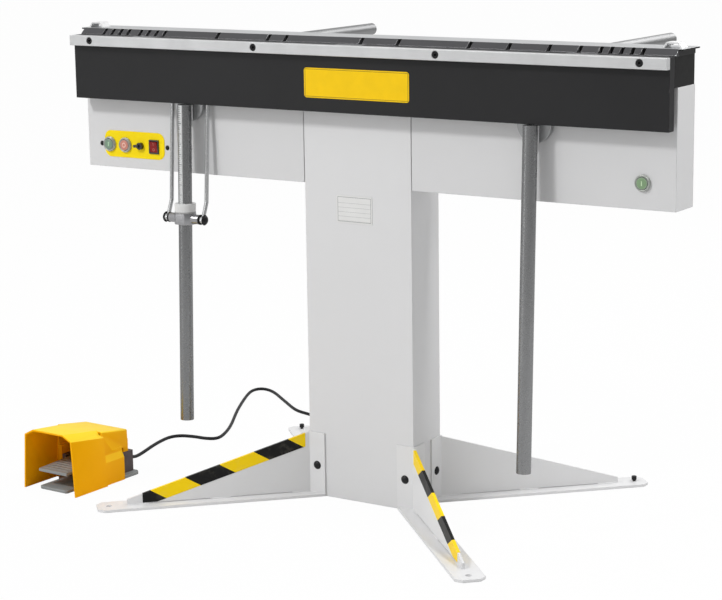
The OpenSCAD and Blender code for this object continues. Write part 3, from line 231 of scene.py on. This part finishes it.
def between(points, index, share):
    """A point on the smooth curve through all the points, a share of the way past one."""
    a, b = points[max(index - 1, 0)], points[index]
    c, d = points[index + 1], points[min(index + 2, len(points) - 1)]
    return 0.5 * (2 * b + (c - a) * share + (2 * a - 5 * b + 4 * c - d) * share ** 2
                  + (3 * b - a - 3 * c + d) * share ** 3)


cable_diameter = 0.007
cable_line = [between(cable_points, i, k / 4) for i in range(len(cable_points) - 1) for k in range(4)]
cable_line.append(cable_points[-1])
cable_curve = bpy.data.curves.new("floor_cable", "CURVE")
cable_curve.dimensions = "3D"
cable_curve.bevel_depth = cable_diameter / 2
cable_curve.bevel_resolution = 5
cable_curve.use_fill_caps = True
cable_spline = cable_curve.splines.new("POLY")
cable_spline.points.add(len(cable_line) - 1)
for spline_point, place in zip(cable_spline.points, cable_line):
    spline_point.co = (*place, 1)
cable = bpy.data.objects.new("floor_cable", cable_curve)
bpy.context.scene.collection.objects.link(cable)
cable_curve.materials.append(rubber("cable_rubber", (0.009, 0.009, 0.010), 0.42).material)
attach(cable, "machine")
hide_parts("pedal_cable")
cable_length = sum((b - a).length for a, b in zip(cable_line, cable_line[1:]))


# Strain reliefs: a hexagonal nut and a tapered nylon sleeve with grooves, one on the
# foot switch and one on the back of the column. The cable runs out of the sleeve.
def strain_relief(name, place, heading, finish):
    sleeve_radius, nut_radius, nut_height = 0.0066, 0.008, 0.0055
    root = (0.005, 1.0)
    groove_and_ring = [(0.0001, 0.84), (0.0012, 1.0), (0.0001, 1.13), (0.0019, 0.955)]
    bpy.ops.object.select_all(action="DESELECT")
    bpy.ops.mesh.primitive_circle_add(vertices=24, radius=sleeve_radius, fill_type="NGON",
                                      location=(0, 0, 0))
    sleeve = bpy.context.object
    sleeve.name = name
    bpy.ops.object.mode_set(mode="EDIT")
    bpy.ops.mesh.select_all(action="SELECT")
    for rise, share in [root] + 5 * groove_and_ring:
        bpy.ops.mesh.extrude_region_move(TRANSFORM_OT_translate={"value": (0, 0, rise)})
        bpy.ops.transform.resize(value=(share, share, 1))
    bpy.ops.mesh.select_all(action="SELECT")
    bpy.ops.mesh.normals_make_consistent(inside=False)
    bpy.ops.object.mode_set(mode="OBJECT")
    bpy.ops.mesh.primitive_cylinder_add(vertices=6, radius=nut_radius, depth=nut_height,
                                        location=(0, 0, nut_height / 2))
    nut = bpy.context.object
    bpy.ops.object.mode_set(mode="EDIT")
    bpy.ops.mesh.select_all(action="SELECT")
    bpy.ops.mesh.bevel(offset=0.0005, segments=2, affect="EDGES")
    bpy.ops.object.mode_set(mode="OBJECT")
    nut.select_set(True)
    sleeve.select_set(True)
    bpy.context.view_layer.objects.active = sleeve
    bpy.ops.object.join()
    sleeve.rotation_euler = Vector(heading).to_track_quat("Z", "X").to_euler()
    sleeve.location = place
    bpy.ops.object.transform_apply(location=True, rotation=True, scale=True)
    bpy.ops.object.shade_smooth_by_angle(angle=math.radians(40))
    sleeve.data.materials.append(finish.material)
    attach(sleeve, "machine")
    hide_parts("cable_glands")


column_half_width, column_half_depth = 0.11865, 0.0492
gland_nylon = rubber("gland_nylon", (0.014, 0.014, 0.015), 0.4)
strain_relief("switch_strain_relief", (pedal_place + housing_face * pedal_heading) / 1000,
              pedal_heading, gland_nylon)
strain_relief("column_strain_relief", (0, column_half_depth, 0.055), (0, 1, 0), gland_nylon)


# Column, side boxes and feet: folded sheet steel and welded plate, powder-coated in a
# very light grey, with a fine orange peel and softly rounded folds.
def powder_coat(name, colour, rough=0.42, dust=0.0):
    coat = Finish(name, colour, rough)
    fold = coat.edges(0.0016)
    tint = coat.blend(coat.noise(3.2, 4), shade_of(colour, 0.97), shade_of(colour, 1.02))
    # Painted highlight: the colour is lifted along every fold and edge.
    tint = coat.blend(fold * 0.3, tint, shade_of(colour, 1.1))
    if dust:
        near_floor = (1.0 - coat.axis("Z") * 14.0).limited()
        tint = coat.blend(near_floor * (0.3 + 0.7 * coat.noise(26, 5)) * dust, tint, (0.42, 0.40, 0.37))
    coat.feed("Base Color", tint)
    coat.feed("Roughness", rough - 0.07 + 0.14 * coat.noise(9, 4))
    orange_peel = coat.noise(420, 2)
    coat.bump(orange_peel, 0.00012, 0.35)
    return coat


dress(["column"], powder_coat("column_coat", (0.705, 0.705, 0.71)))
dress(["left_box", "right_box", "left_box_cover", "right_box_cover"],
      powder_coat("box_coat", (0.665, 0.665, 0.67)))
foot_coat = powder_coat("foot_coat", (0.74, 0.74, 0.745), 0.38, dust=0.02)
dress(["foot_front_left", "foot_front_right", "foot_rear_left", "foot_rear_right"], foot_coat)


# Weld seams: rows of flattened, overlapping drops, where the feet's webs meet their
# base plates. They were laid before painting, so they carry the feet's paint.
def weld_seam(name, start, end, radius, finish, body):
    start, end = Vector(start), Vector(end)
    count = max(2, int((end - start).length / (radius * 0.8)))
    bpy.ops.object.select_all(action="DESELECT")
    bpy.ops.mesh.primitive_uv_sphere_add(segments=10, ring_count=6, radius=radius, location=(0, 0, 0))
    seam = bpy.context.object
    seam.name = name
    bpy.ops.object.mode_set(mode="EDIT")
    bpy.ops.mesh.select_all(action="SELECT")
    bpy.ops.transform.resize(value=(1.0, 1.0, 0.8))
    bpy.ops.object.mode_set(mode="OBJECT")
    bpy.ops.object.modifier_add(type="ARRAY")
    row = seam.modifiers[-1]
    row.count = count
    row.use_relative_offset = False
    row.use_constant_offset = True
    row.constant_offset_displace = (end - start) / (count - 1)
    bpy.ops.object.modifier_apply(modifier=row.name)
    seam.location = start
    bpy.ops.object.transform_apply(location=True, rotation=True, scale=True)
    bpy.ops.object.shade_smooth_by_angle(angle=math.radians(80))
    seam.data.materials.append(finish.material)
    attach(seam, body)


web_half, base_top, foot_seam_radius = 2.7, 0.0054, 0.0018
foot_runs = ((4, 36), (161, 196), (323, 360))
for side_x in (-1, 1):
    for side_y in (-1, 1):
        for face in (-1, 1):
            for k, run in enumerate(foot_runs):
                ends = []
                for out in run:
                    x = column_half_width + (out - face * web_half) / 1000 / math.sqrt(2)
                    y = column_half_depth + (out + face * web_half) / 1000 / math.sqrt(2)
                    ends.append((side_x * x, side_y * y, base_top))
                weld_seam(f"foot_seam_{side_x + 1}{side_y + 1}{face + 1}{k}", ends[0], ends[1],
                          foot_seam_radius, foot_coat, "machine")


# Warning tape folded over the front webs: yellow film with slanting black bars and a
# few shallow wrinkles. Each foot's bars start and repeat a little differently.
tape = Finish("tape_film", (0.9, 0.62, 0.004), 0.4, 0.0, {"Specular IOR Level": 0.15})
out_along = (abs(tape.axis("X")) - column_half_width - tape.axis("Y") - column_half_depth) \
    * (1 / math.sqrt(2))
bar_place = 0.6607 * out_along - 1.1374 * tape.axis("Z") + 0.141


def slanting_bars(start, pitch):
    return ((bar_place - start) % pitch) < pitch / 2


on_right = tape.axis("X") > 0.0
bars = slanting_bars(0.0409, 0.137) * (1.0 - on_right) + slanting_bars(0.075, 0.146) * on_right
tape_tint = tape.blend(bars, (0.97, 0.67, 0.003), (0.010, 0.010, 0.010))
tape_scuff = (tape.noise(55, 6) * 2.6 - 1.4).limited() * 0.16
tape.feed("Base Color", tape.blend(tape_scuff, tape_tint, (0.50, 0.46, 0.36)))
tape.feed("Roughness", 0.3 + 0.2 * tape.noise(60, 3))
wrinkles = tape.noise(45, 3, (1, 1, 2.5))
tape.bump(wrinkles, 0.0008, 0.35)
dress(["hazard_tapes"], tape)


# Magnet: black-painted steel bar, ground bare on its working face, with a black
# plastic block on each end. The pivot brackets below it carry the same kind of paint.
bare_metal = (0.42, 0.42, 0.43)


def black_paint(name, colour, rough, wear, bare_above=None):
    paint = Finish(name, colour, rough, 0.0, {"Specular IOR Level": 0.3})
    edge = paint.edges(0.0012)
    worn = (edge * (paint.noise(70, 5) > 0.58) * wear).limited()
    if bare_above:
        worn = (worn + (paint.axis("Z") > bare_above)).limited()
    tint = paint.blend(paint.noise(5, 4), shade_of(colour, 0.75), shade_of(colour, 1.3))
    paint.feed("Base Color", paint.blend(worn, tint, bare_metal))
    paint.feed("Metallic", worn)
    paint.feed("Roughness", rough - 0.06 + 0.16 * paint.noise(14, 4))
    paint.bump(paint.noise(700, 3), 0.00012, 0.4)
    return paint


dress(["magnet_body"], black_paint("magnet_paint", (0.014, 0.014, 0.015), 0.45, 0.4, bare_above=0.8845))
dress(["magnet_end_blocks"], rubber("end_block_plastic", (0.004, 0.004, 0.004), 0.4))
bracket_paint = black_paint("bracket_paint", (0.02, 0.02, 0.022), 0.45, 0.3)
dress(["link_brackets"], bracket_paint)


# Bending beam: milled steel bar under black satin paint, worn along its edges. It
# swings on the hinge shoes behind its top edge.
dress(["bending_beam"], black_paint("beam_paint", (0.012, 0.012, 0.013), 0.46, 0.35))


# Extension strip, hinge shoes and pole filler: ground along their length, so fine
# scratches run along X, with a few darker handling marks.
def ground_steel(name, colour, rough, along="X", marks=0.25, metal=1.0, dark_below=None):
    steel = Finish(name, colour, rough, metal)
    edge = steel.edges(0.0008)
    scratches = steel.noise(30, 4, [1 if axis == along else 60 for axis in "XYZ"], 0.7)
    stain = (steel.noise(16, 5) * 2.2 - 0.85).limited() * marks
    tint = steel.blend(scratches, shade_of(colour, 0.82), shade_of(colour, 1.1))
    tint = steel.blend(stain, tint, shade_of(colour, 0.45))
    # Painted highlight: the colour is lifted along every edge.
    tint = steel.blend(edge * 0.5, tint, (0.85, 0.85, 0.86))
    if dark_below:
        tint = steel.blend(steel.axis("Z") < dark_below, tint, (0.02, 0.02, 0.021))
    steel.feed("Base Color", tint)
    steel.feed("Roughness", rough - 0.08 + 0.18 * scratches + 0.12 * stain)
    steel.bump(scratches, 0.00006, 0.5)
    return steel


dress(["extension_strip"], ground_steel("strip_steel", (0.66, 0.665, 0.67), 0.42, metal=0.45))
dress(["hinge_shoes", "pole_filler"], ground_steel("shoe_steel", (0.6, 0.61, 0.62), 0.36))


# Clamp bar: ground steel plate, light on its top face and near black below it, on its ends and in the
# slots of its front, with milled dark fingers before it and two light steel straps to lift it by.
dress(["clamp_bar"], ground_steel("bar_steel", (0.62, 0.63, 0.64), 0.36, metal=0.75, dark_below=0.8965))
dress(["clamp_fingers"], ground_steel("finger_steel", (0.085, 0.085, 0.09), 0.44, metal=0.6))
dress(["lifting_handles"], ground_steel("strap_steel", (0.80, 0.80, 0.80), 0.45, metal=0.1))


# Rear arms: round steel tubes with a satin skin, drawn along Y, screwed to the back of
# the machine.
dress(["backstop_arms"],
      ground_steel("arm_steel", (0.28, 0.282, 0.285), 0.40, along="Y", marks=0.06, metal=0.7))


# Pull handles: drawn tube with a dull mottled zinc skin, which reflects less towards
# its limbs. The left one carries a pale strip with a scale of fine lines, which shows
# the bending angle beside the collar.
def dull_zinc(name, colour, rough, mottle=0.4, metal=0.9, limb_tint=None):
    zinc = Finish(name, colour, rough, metal)
    drawn = zinc.noise(60, 4, (1, 1, 0.06), 0.7)
    spangle = zinc.noise(90, 3)
    tint = zinc.blend(drawn, shade_of(colour, 0.85), shade_of(colour, 1.1))
    zinc.tint = zinc.blend((spangle * 1.8 - 0.7).limited() * mottle, tint, shade_of(colour, 0.7))
    if limb_tint:
        zinc.feed("Specular Tint", (limb_tint, limb_tint, limb_tint, 1.0))
    else:
        # Painted highlight: without a limb tint, the colour is lifted along every edge.
        zinc.tint = zinc.blend(zinc.edges(0.0008) * 0.4, zinc.tint, (0.8, 0.8, 0.8))
    zinc.feed("Base Color", zinc.tint)
    zinc.feed("Roughness", rough - 0.03 + 0.06 * spangle)
    zinc.bump(drawn, 0.00001, 0.3)
    return zinc


handle_x, tube_metal, tube_limb = 0.382, 0.9, 0.75
dress(["right_handle_tube"],
      dull_zinc("tube_zinc", (0.275, 0.278, 0.281), 0.27, 0.10, tube_metal, tube_limb))
# The left tube's zinc is a darker copy of the right tube's: painted shade.
scale_tube = dull_zinc("scale_tube_zinc", (0.25, 0.253, 0.256), 0.27, 0.10, tube_metal, tube_limb)
across = scale_tube.axis("X") + handle_x
height = scale_tube.axis("Z")
strip_left, strip_right, strip_foot, strip_head = -0.0055, 0.0038, 0.556, 0.756
tube_head, front_at_head, tube_lean = 0.757, -0.0767, math.radians(2)
tube_front = front_at_head + (height - tube_head) * math.tan(tube_lean)
strip = (across > strip_left) * (across < strip_right) * (height > strip_foot) \
    * (height < strip_head) * (scale_tube.axis("Y") < tube_front)


def ticks(pitch, width, reach):
    return ((height % pitch) < width) * (across < reach)


scale_lines = (ticks(0.004, 0.0012, -0.0015) + ticks(0.020, 0.0014, 0.0018)).limited() * 0.75
strip_tint = scale_tube.blend(scale_lines, (0.62, 0.63, 0.63), (0.05, 0.05, 0.05))
scale_tube.feed("Base Color", scale_tube.blend(strip, scale_tube.tint, strip_tint))
scale_tube.feed("Metallic", tube_metal - 0.6 * strip)
dress(["left_handle_tube"], scale_tube)


# Handle plates: steel plates screwed to the beam behind the tubes' upper ends, with the
# same zinc and light weld seams on both sides of each tube.
dress(["handle_brackets"], dull_zinc("plate_zinc", (0.40, 0.405, 0.41), 0.42))
seam_zinc = dull_zinc("seam_zinc", (0.66, 0.66, 0.67), 0.38, mottle=0.2)
seam_beside, handle_seam_radius = 0.0098, 0.0029
for side_x in (-1, 1):
    for face in (-1, 1):
        x = side_x * handle_x + face * seam_beside
        weld_seam(f"handle_seam_{side_x + 1}{face + 1}", (x, -0.0662, 0.7545), (x, -0.0668, 0.727),
                  handle_seam_radius, seam_zinc, "bending_beam")


# Angle stop: cast yoke with rounded edges, bright link rods and a painted collar, darker along its
# bottom band as painted shade. The yoke slides on the left tube and pushes the collar ahead of it.
def rounded_casting(node, radius, steps, finish, sharp=20):
    source = nodes[node]
    casting = source.copy()
    casting.data = source.data.copy()
    casting.name = node + "_moulding"
    casting.parent = None
    casting.matrix_world = Matrix.Identity(4)
    bpy.context.scene.collection.objects.link(casting)
    bpy.ops.object.select_all(action="DESELECT")
    casting.select_set(True)
    bpy.context.view_layer.objects.active = casting
    bpy.ops.object.mode_set(mode="EDIT")
    bpy.ops.mesh.select_all(action="SELECT")
    bpy.ops.mesh.remove_doubles(threshold=0.00001)
    bpy.ops.mesh.dissolve_limited(angle_limit=math.radians(0.5))
    bpy.ops.mesh.normals_make_consistent(inside=False)
    bpy.ops.object.mode_set(mode="OBJECT")
    bpy.ops.object.modifier_add(type="BEVEL")
    rounding = casting.modifiers[-1]
    rounding.width = radius
    rounding.segments = steps
    rounding.limit_method = "ANGLE"
    rounding.angle_limit = math.radians(sharp)
    rounding.use_clamp_overlap = True
    bpy.ops.object.modifier_apply(modifier=rounding.name)
    bpy.ops.object.shade_smooth_by_angle(angle=math.radians(35))
    casting.data.materials.clear()
    casting.data.materials.append(finish.material)
    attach(casting, source.parent.name.split(":")[-1])
    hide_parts(node)


rounded_casting("stop_yoke", 0.0014, 3, dull_zinc("yoke_zinc", (0.36, 0.36, 0.37), 0.33, 0.25),
                sharp=25)
dress(["link_rods"], dull_zinc("rod_zinc", (0.60, 0.605, 0.61), 0.24, mottle=0.1, limb_tint=0.4))
collar_coat = powder_coat("collar_coat", (0.66, 0.66, 0.655), 0.4)
# Painted shade: the collar's bottom band is coloured darker.
painted_bottom_shade = collar_coat.axis("Z") < 0.5475
collar_coat.feed("Base Color",
                 collar_coat.blend(painted_bottom_shade * 0.55, (0.68, 0.68, 0.675), (0.11, 0.11, 0.11)))
rounded_casting("angle_collar", 0.0008, 3, collar_coat, sharp=40)


# Fasteners: black-oxide screws and bolts, two zinc-plated kinds, and the rubber washers
# between the link rods' eyes and the yoke.
def black_oxide(name):
    oxide = Finish(name, (0.03, 0.03, 0.032), 0.38, 0.6)
    edge = oxide.edges(0.0005)
    # Painted highlight: the colour is lifted along every edge of the screws.
    oxide.feed("Base Color", oxide.blend(edge * 0.6, (0.016, 0.016, 0.017), (0.13, 0.13, 0.14)))
    oxide.feed("Roughness", 0.3 + 0.25 * oxide.noise(240, 3))
    oxide.bump(oxide.noise(900, 2), 0.00005, 0.4)
    return oxide


dress(["column_bolts", "levelling_screws", "panel_screws", "strip_screws", "bracket_screws",
       "collar_screw", "link_bolts", "arm_screws"], black_oxide("screw_oxide"))
dress(["pedal_pin", "cover_screws"], dull_zinc("screw_zinc", (0.56, 0.565, 0.57), 0.3, mottle=0.2))
dress(["link_bushes"], rubber("washer_rubber", (0.014, 0.014, 0.014), 0.6))


# Push buttons, selector and rocker frame: glossy plastic mouldings. The start caps
# carry an upright light bar and the stop cap a ring, as such buttons do.
def moulded(name, colour, rough, coat=0.3, shine=0.5):
    plastic = Finish(name, colour, rough, 0.0,
                     {"Coat Weight": coat, "Coat Roughness": 0.15, "Specular IOR Level": shine})
    edge = plastic.edges(0.0006)
    tint = plastic.blend(plastic.noise(40, 3), shade_of(colour, 0.92), shade_of(colour, 1.06))
    # Painted highlight: the colour is lifted along every edge of the moulding.
    plastic.tint = plastic.blend(edge * 0.3, tint, shade_of(colour, 1.2, 0.02))
    plastic.feed("Base Color", plastic.tint)
    plastic.feed("Roughness", rough - 0.04 + 0.1 * plastic.noise(120, 3))
    plastic.bump(plastic.noise(1600, 2), 0.00004, 0.3)
    return plastic


control_height = 0.6645
start_x, stop_x, remote_x = -0.5945, -0.5546, 0.5875


def button_cap(node, colour, glow, x, ring):
    cap = moulded(node + "_moulding", colour, 0.3)
    side = cap.axis("X") - x
    up = cap.axis("Z") - control_height
    from_centre = (side * side + up * up).root()
    ring_radius, ring_half, bar_half, bar_reach, flat_radius = 0.0040, 0.0007, 0.0008, 0.0042, 0.0095
    if ring:
        mark = abs(from_centre - ring_radius) < ring_half
    else:
        mark = (abs(side) < bar_half) * (abs(up) < bar_reach)
    rim = from_centre > flat_radius
    tint = cap.blend(mark, cap.tint, glow)
    cap.feed("Base Color", cap.blend(rim * 0.5, tint, (0.35, 0.37, 0.36)))
    dress([node], cap)


button_cap("start_button", (0.17, 0.27, 0.19), (0.50, 0.78, 0.48), start_x, ring=False)
button_cap("remote_button", (0.20, 0.32, 0.17), (0.62, 0.80, 0.52), remote_x, ring=False)
button_cap("stop_button", (0.58, 0.21, 0.15), (0.88, 0.60, 0.50), stop_x, ring=True)
dress(["selector_knob", "rocker_frame"], moulded("black_moulding", (0.012, 0.012, 0.012), 0.35))


# Button bezels: die-cast rings with a stepped, softened rim round each cap, 30 mm
# across, pushed onto the plate or the box. Each is drawn up from one circle.
def bezel_ring(name, place, metal):
    start_radius = 0.0148
    profile = ((0.0150, 0.0002), (0.0150, 0.0027), (0.0148, 0.0030), (0.0143, 0.0030),
               (0.0141, 0.0032), (0.0139, 0.0048), (0.0136, 0.0052), (0.0121, 0.0052),
               (0.0118, 0.0050), (0.0107, 0.0036), (0.0107, 0.0))
    bpy.ops.object.select_all(action="DESELECT")
    bpy.ops.mesh.primitive_circle_add(vertices=48, radius=start_radius, location=(0, 0, 0))
    ring = bpy.context.object
    ring.name = name
    bpy.ops.object.mode_set(mode="EDIT")
    bpy.ops.mesh.select_all(action="SELECT")
    radius, height = start_radius, 0.0
    for to_radius, to_height in profile:
        bpy.ops.mesh.extrude_region_move(TRANSFORM_OT_translate={"value": (0, 0, to_height - height)})
        share = to_radius / radius
        bpy.ops.transform.resize(value=(share, share, 1))
        radius, height = to_radius, to_height
    bpy.ops.mesh.select_all(action="DESELECT")
    bpy.ops.mesh.select_non_manifold()
    bpy.ops.mesh.bridge_edge_loops()
    bpy.ops.mesh.select_all(action="SELECT")
    bpy.ops.mesh.normals_make_consistent(inside=False)
    bpy.ops.object.mode_set(mode="OBJECT")
    ring.rotation_euler = (math.radians(90), 0, 0)
    ring.location = place
    bpy.ops.object.transform_apply(location=True, rotation=True, scale=True)
    bpy.ops.object.shade_smooth_by_angle(angle=math.radians(40))
    ring.data.materials.append(metal.material)
    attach(ring, "machine")
    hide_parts("button_bezels")


plate_face, box_face = -0.0500, -0.0492
bezel_metal = dull_zinc("bezel_metal", (0.40, 0.42, 0.39), 0.42, mottle=0.15, metal=0.6)
bezel_ring("start_bezel", (start_x, plate_face, control_height), bezel_metal)
bezel_ring("stop_bezel", (stop_x, plate_face, control_height), bezel_metal)
bezel_ring("remote_bezel", (remote_x, box_face, control_height), bezel_metal)


# Rocker lens: clear red moulding with its two printed marks, a bar above and a ring
# below. It tips in the black frame, and on the real switch it is lit from within.
rocker_x, mark_height, bar_half, bar_reach = -0.4816, 0.0055, 0.0006, 0.0028
ring_radius, ring_half = 0.0024, 0.0005
lens = moulded("rocker_lens", (0.24, 0.006, 0.004), 0.25, coat=0.2, shine=0.2)
lens_side = lens.axis("X") - rocker_x
lens_up = lens.axis("Z") - control_height
bar_mark = (abs(lens_side) < bar_half) * (abs(lens_up - mark_height) < bar_reach)
ring_up = lens_up + mark_height
from_centre = (lens_side * lens_side + ring_up * ring_up).root()
marks = (bar_mark + (abs(from_centre - ring_radius) < ring_half)).limited()
lens.feed("Base Color", lens.blend(marks, lens.tint, (0.50, 0.16, 0.12)))
dress(["rocker_switch"], lens)


# Plates for print: screen-printed film with a thin dark border, left bare inside. The
# control plate is plain yellow, and the small plate on the column has ruled lines.
def plate_film(name, colour, border, centre, size, inset, width):
    film = moulded(name, colour, 0.4, coat=0.0, shine=0.2)
    x_in = abs(film.axis("X") - centre[0]) - (size[0] / 2 - inset)
    z_in = abs(film.axis("Z") - centre[1]) - (size[1] / 2 - inset)
    line = abs(x_in.larger(z_in)) < width
    film.tint = film.blend(line * 0.8, film.tint, border)
    film.feed("Base Color", film.tint)
    return film


dress(["name_plate"],
      plate_film("name_film", (0.95, 0.60, 0.001), border=(0.12, 0.09, 0.02), centre=(0.022, 0.813),
                 size=(0.230, 0.056), inset=0.0026, width=0.0005))
dress(["control_plate"], moulded("control_film", (1.0, 0.73, 0.005), 0.4, coat=0.0, shine=0.12))
small_plate = (-0.00725, 0.57275)
rating = plate_film("rating_film", (0.76, 0.76, 0.75), border=(0.10, 0.10, 0.11), centre=small_plate,
                    size=(0.0795, 0.0525), inset=0.003, width=0.0004)
first_rule, rule_pitch, rule_width, rule_reach, last_rule = 0.5505, 0.0085, 0.0005, 0.0365, 0.592
rule = ((rating.axis("Z") - first_rule) % rule_pitch) < rule_width
inside = (abs(rating.axis("X") - small_plate[0]) < rule_reach) * (rating.axis("Z") < last_rule)
rating.feed("Base Color", rating.blend(rule * inside * 0.6, rating.tint, (0.16, 0.16, 0.17)))
dress(["rating_plate"], rating)


# Foot switch: moulded yellow hood, its rims and corners rounded and its upward faces painted a lighter
# yellow as painted light from above, over a cast base with a ribbed treadle and a dark switch housing.
def cast_paint(name, colour, rough):
    paint = Finish(name, colour, rough)
    worn = (paint.noise(120, 6) * 2.4 - 1.3).limited() * 0.4
    tint = paint.blend(paint.noise(30, 4), shade_of(colour, 0.85), shade_of(colour, 1.15))
    paint.feed("Base Color", paint.blend(worn, tint, bare_metal))
    paint.feed("Roughness", rough + 0.15 * paint.noise(60, 3))
    paint.bump(paint.noise(500, 3), 0.00025, 0.5)
    return paint


hood = Finish("hood_moulding", (0.86, 0.40, 0.0), 0.36, 0.0, {"Specular IOR Level": 0.06})
facing_up = hood.add("ShaderNodeSeparateXYZ", None,
                     {"Vector": hood.add("ShaderNodeTexCoord", out="Normal")}, out="Z")
hood_tint = hood.blend(hood.noise(24, 3), (0.93, 0.415, 0.0), (0.98, 0.45, 0.0))
# Painted light from above: faces that point up are coloured a lighter yellow.
hood_tint = hood.blend((facing_up * 1.25).limited(), hood_tint, (1.0, 0.69, 0.03))
hood_scuff = (hood.noise(90, 6) * 2.2 - 1.3).limited() * 0.12
hood.feed("Base Color", hood.blend(hood_scuff, hood_tint, (0.70, 0.42, 0.10)))
hood.feed("Roughness", 0.32 + 0.14 * hood.noise(60, 4))
hood.bump(hood.noise(900, 2), 0.0001, 0.4)
rounded_casting("pedal_hood", 0.0014, 3, hood)
pedal_paint = cast_paint("pedal_paint", (0.265, 0.28, 0.28), 0.5)
rounded_casting("pedal_base", 0.0015, 2, pedal_paint)
rounded_casting("pedal_treadle", 0.0006, 2, pedal_paint, sharp=40)
dress(["pedal_switch_body"], rubber("housing_moulding", (0.095, 0.078, 0.080), 0.5))


# Inner pieces: the transformer's laminated core and copper windings, the capacitors'
# aluminium cans and the painted rectifier in the left box, and the magnet's coil.
dress(["transformer_core"], dull_zinc("core_iron", (0.2, 0.2, 0.21), 0.5))
dress(["transformer_windings", "magnet_coil"], ground_steel("copper_wire", (0.55, 0.26, 0.12), 0.35))
dress(["capacitors"], ground_steel("can_aluminium", (0.66, 0.67, 0.68), 0.3, "Z"))
dress(["rectifier"], bracket_paint)


# Studio: plain pale floor, world light that falls off to the right, and soft lamps. The
# camera sees the floor nearly white and the world white, whatever light they give.
white, floor_glow = (1, 1, 1, 1), 0.975
bpy.ops.object.select_all(action="DESELECT")
bpy.ops.mesh.primitive_plane_add(size=80, location=(0, 0, 0))
floor = bpy.context.object
floor.name = "studio_floor"
floor_finish = Finish("studio_floor", (0.7, 0.7, 0.7), 0.9)
seen = floor_finish.add("ShaderNodeLightPath", out="Is Camera Ray")
glow = floor_finish.add("ShaderNodeEmission", None, {"Color": white, "Strength": 1.0})
lit = Signal(floor_finish, floor_finish.shader.outputs[0])
mixed = floor_finish.add("ShaderNodeMixShader", None, {0: seen * floor_glow, 1: lit, 2: glow})
floor_finish.plug(floor_finish.tree.nodes["Material Output"].inputs["Surface"], mixed)
floor.data.materials.append(floor_finish.material)

world = bpy.data.worlds.new("studio")
world.use_nodes = True
bpy.context.scene.world = world
sky = Wiring(world.node_tree)
camera_ray = sky.add("ShaderNodeLightPath", out="Is Camera Ray")
glass_ray = sky.add("ShaderNodeLightPath", out="Is Transmission Ray")
direction = sky.add("ShaderNodeTexCoord", out="Generated")
to_the_right = sky.add("ShaderNodeSeparateXYZ", None, {0: direction}, out="X")
falling_off = 0.54 - 0.30 * to_the_right
light = sky.add("ShaderNodeBackground", None, {"Color": white, "Strength": falling_off})
backdrop = sky.add("ShaderNodeBackground", None, {"Color": white, "Strength": 1.0})
mixed = sky.add("ShaderNodeMixShader", None, {0: camera_ray.larger(glass_ray), 1: light, 2: backdrop})
sky.plug(world.node_tree.nodes["World Output"].inputs["Surface"], mixed)

for name, place, aim, size, power in (
        ("key_lamp", (-2.2, -4.0, 4.4), (0, 0, 0.6), (0.8, 0.8), 145),
        ("strip_lamp", (-3.1, -3.7, 1.0), (0, 0, 0.6), (0.3, 2.0), 8),
        ("fill_lamp", (2.3, 0.0, 3.3), (0.3, 0, 0.5), (0.6, 0.6), 58),
        ("rear_lamp", (1.0, 3.4, 2.8), (0, 0, 0.8), (2.2, 2.2), 52)):
    lamp_data = bpy.data.lights.new(name, "AREA")
    lamp_data.shape = "RECTANGLE"
    lamp_data.size, lamp_data.size_y = size
    lamp_data.energy = power
    lamp = bpy.data.objects.new(name, lamp_data)
    bpy.context.scene.collection.objects.link(lamp)
    lamp.location = place
    lamp.rotation_euler = (Vector(aim) - Vector(place)).to_track_quat("-Z", "Y").to_euler()

bpy.context.scene.view_settings.view_transform = "Standard"
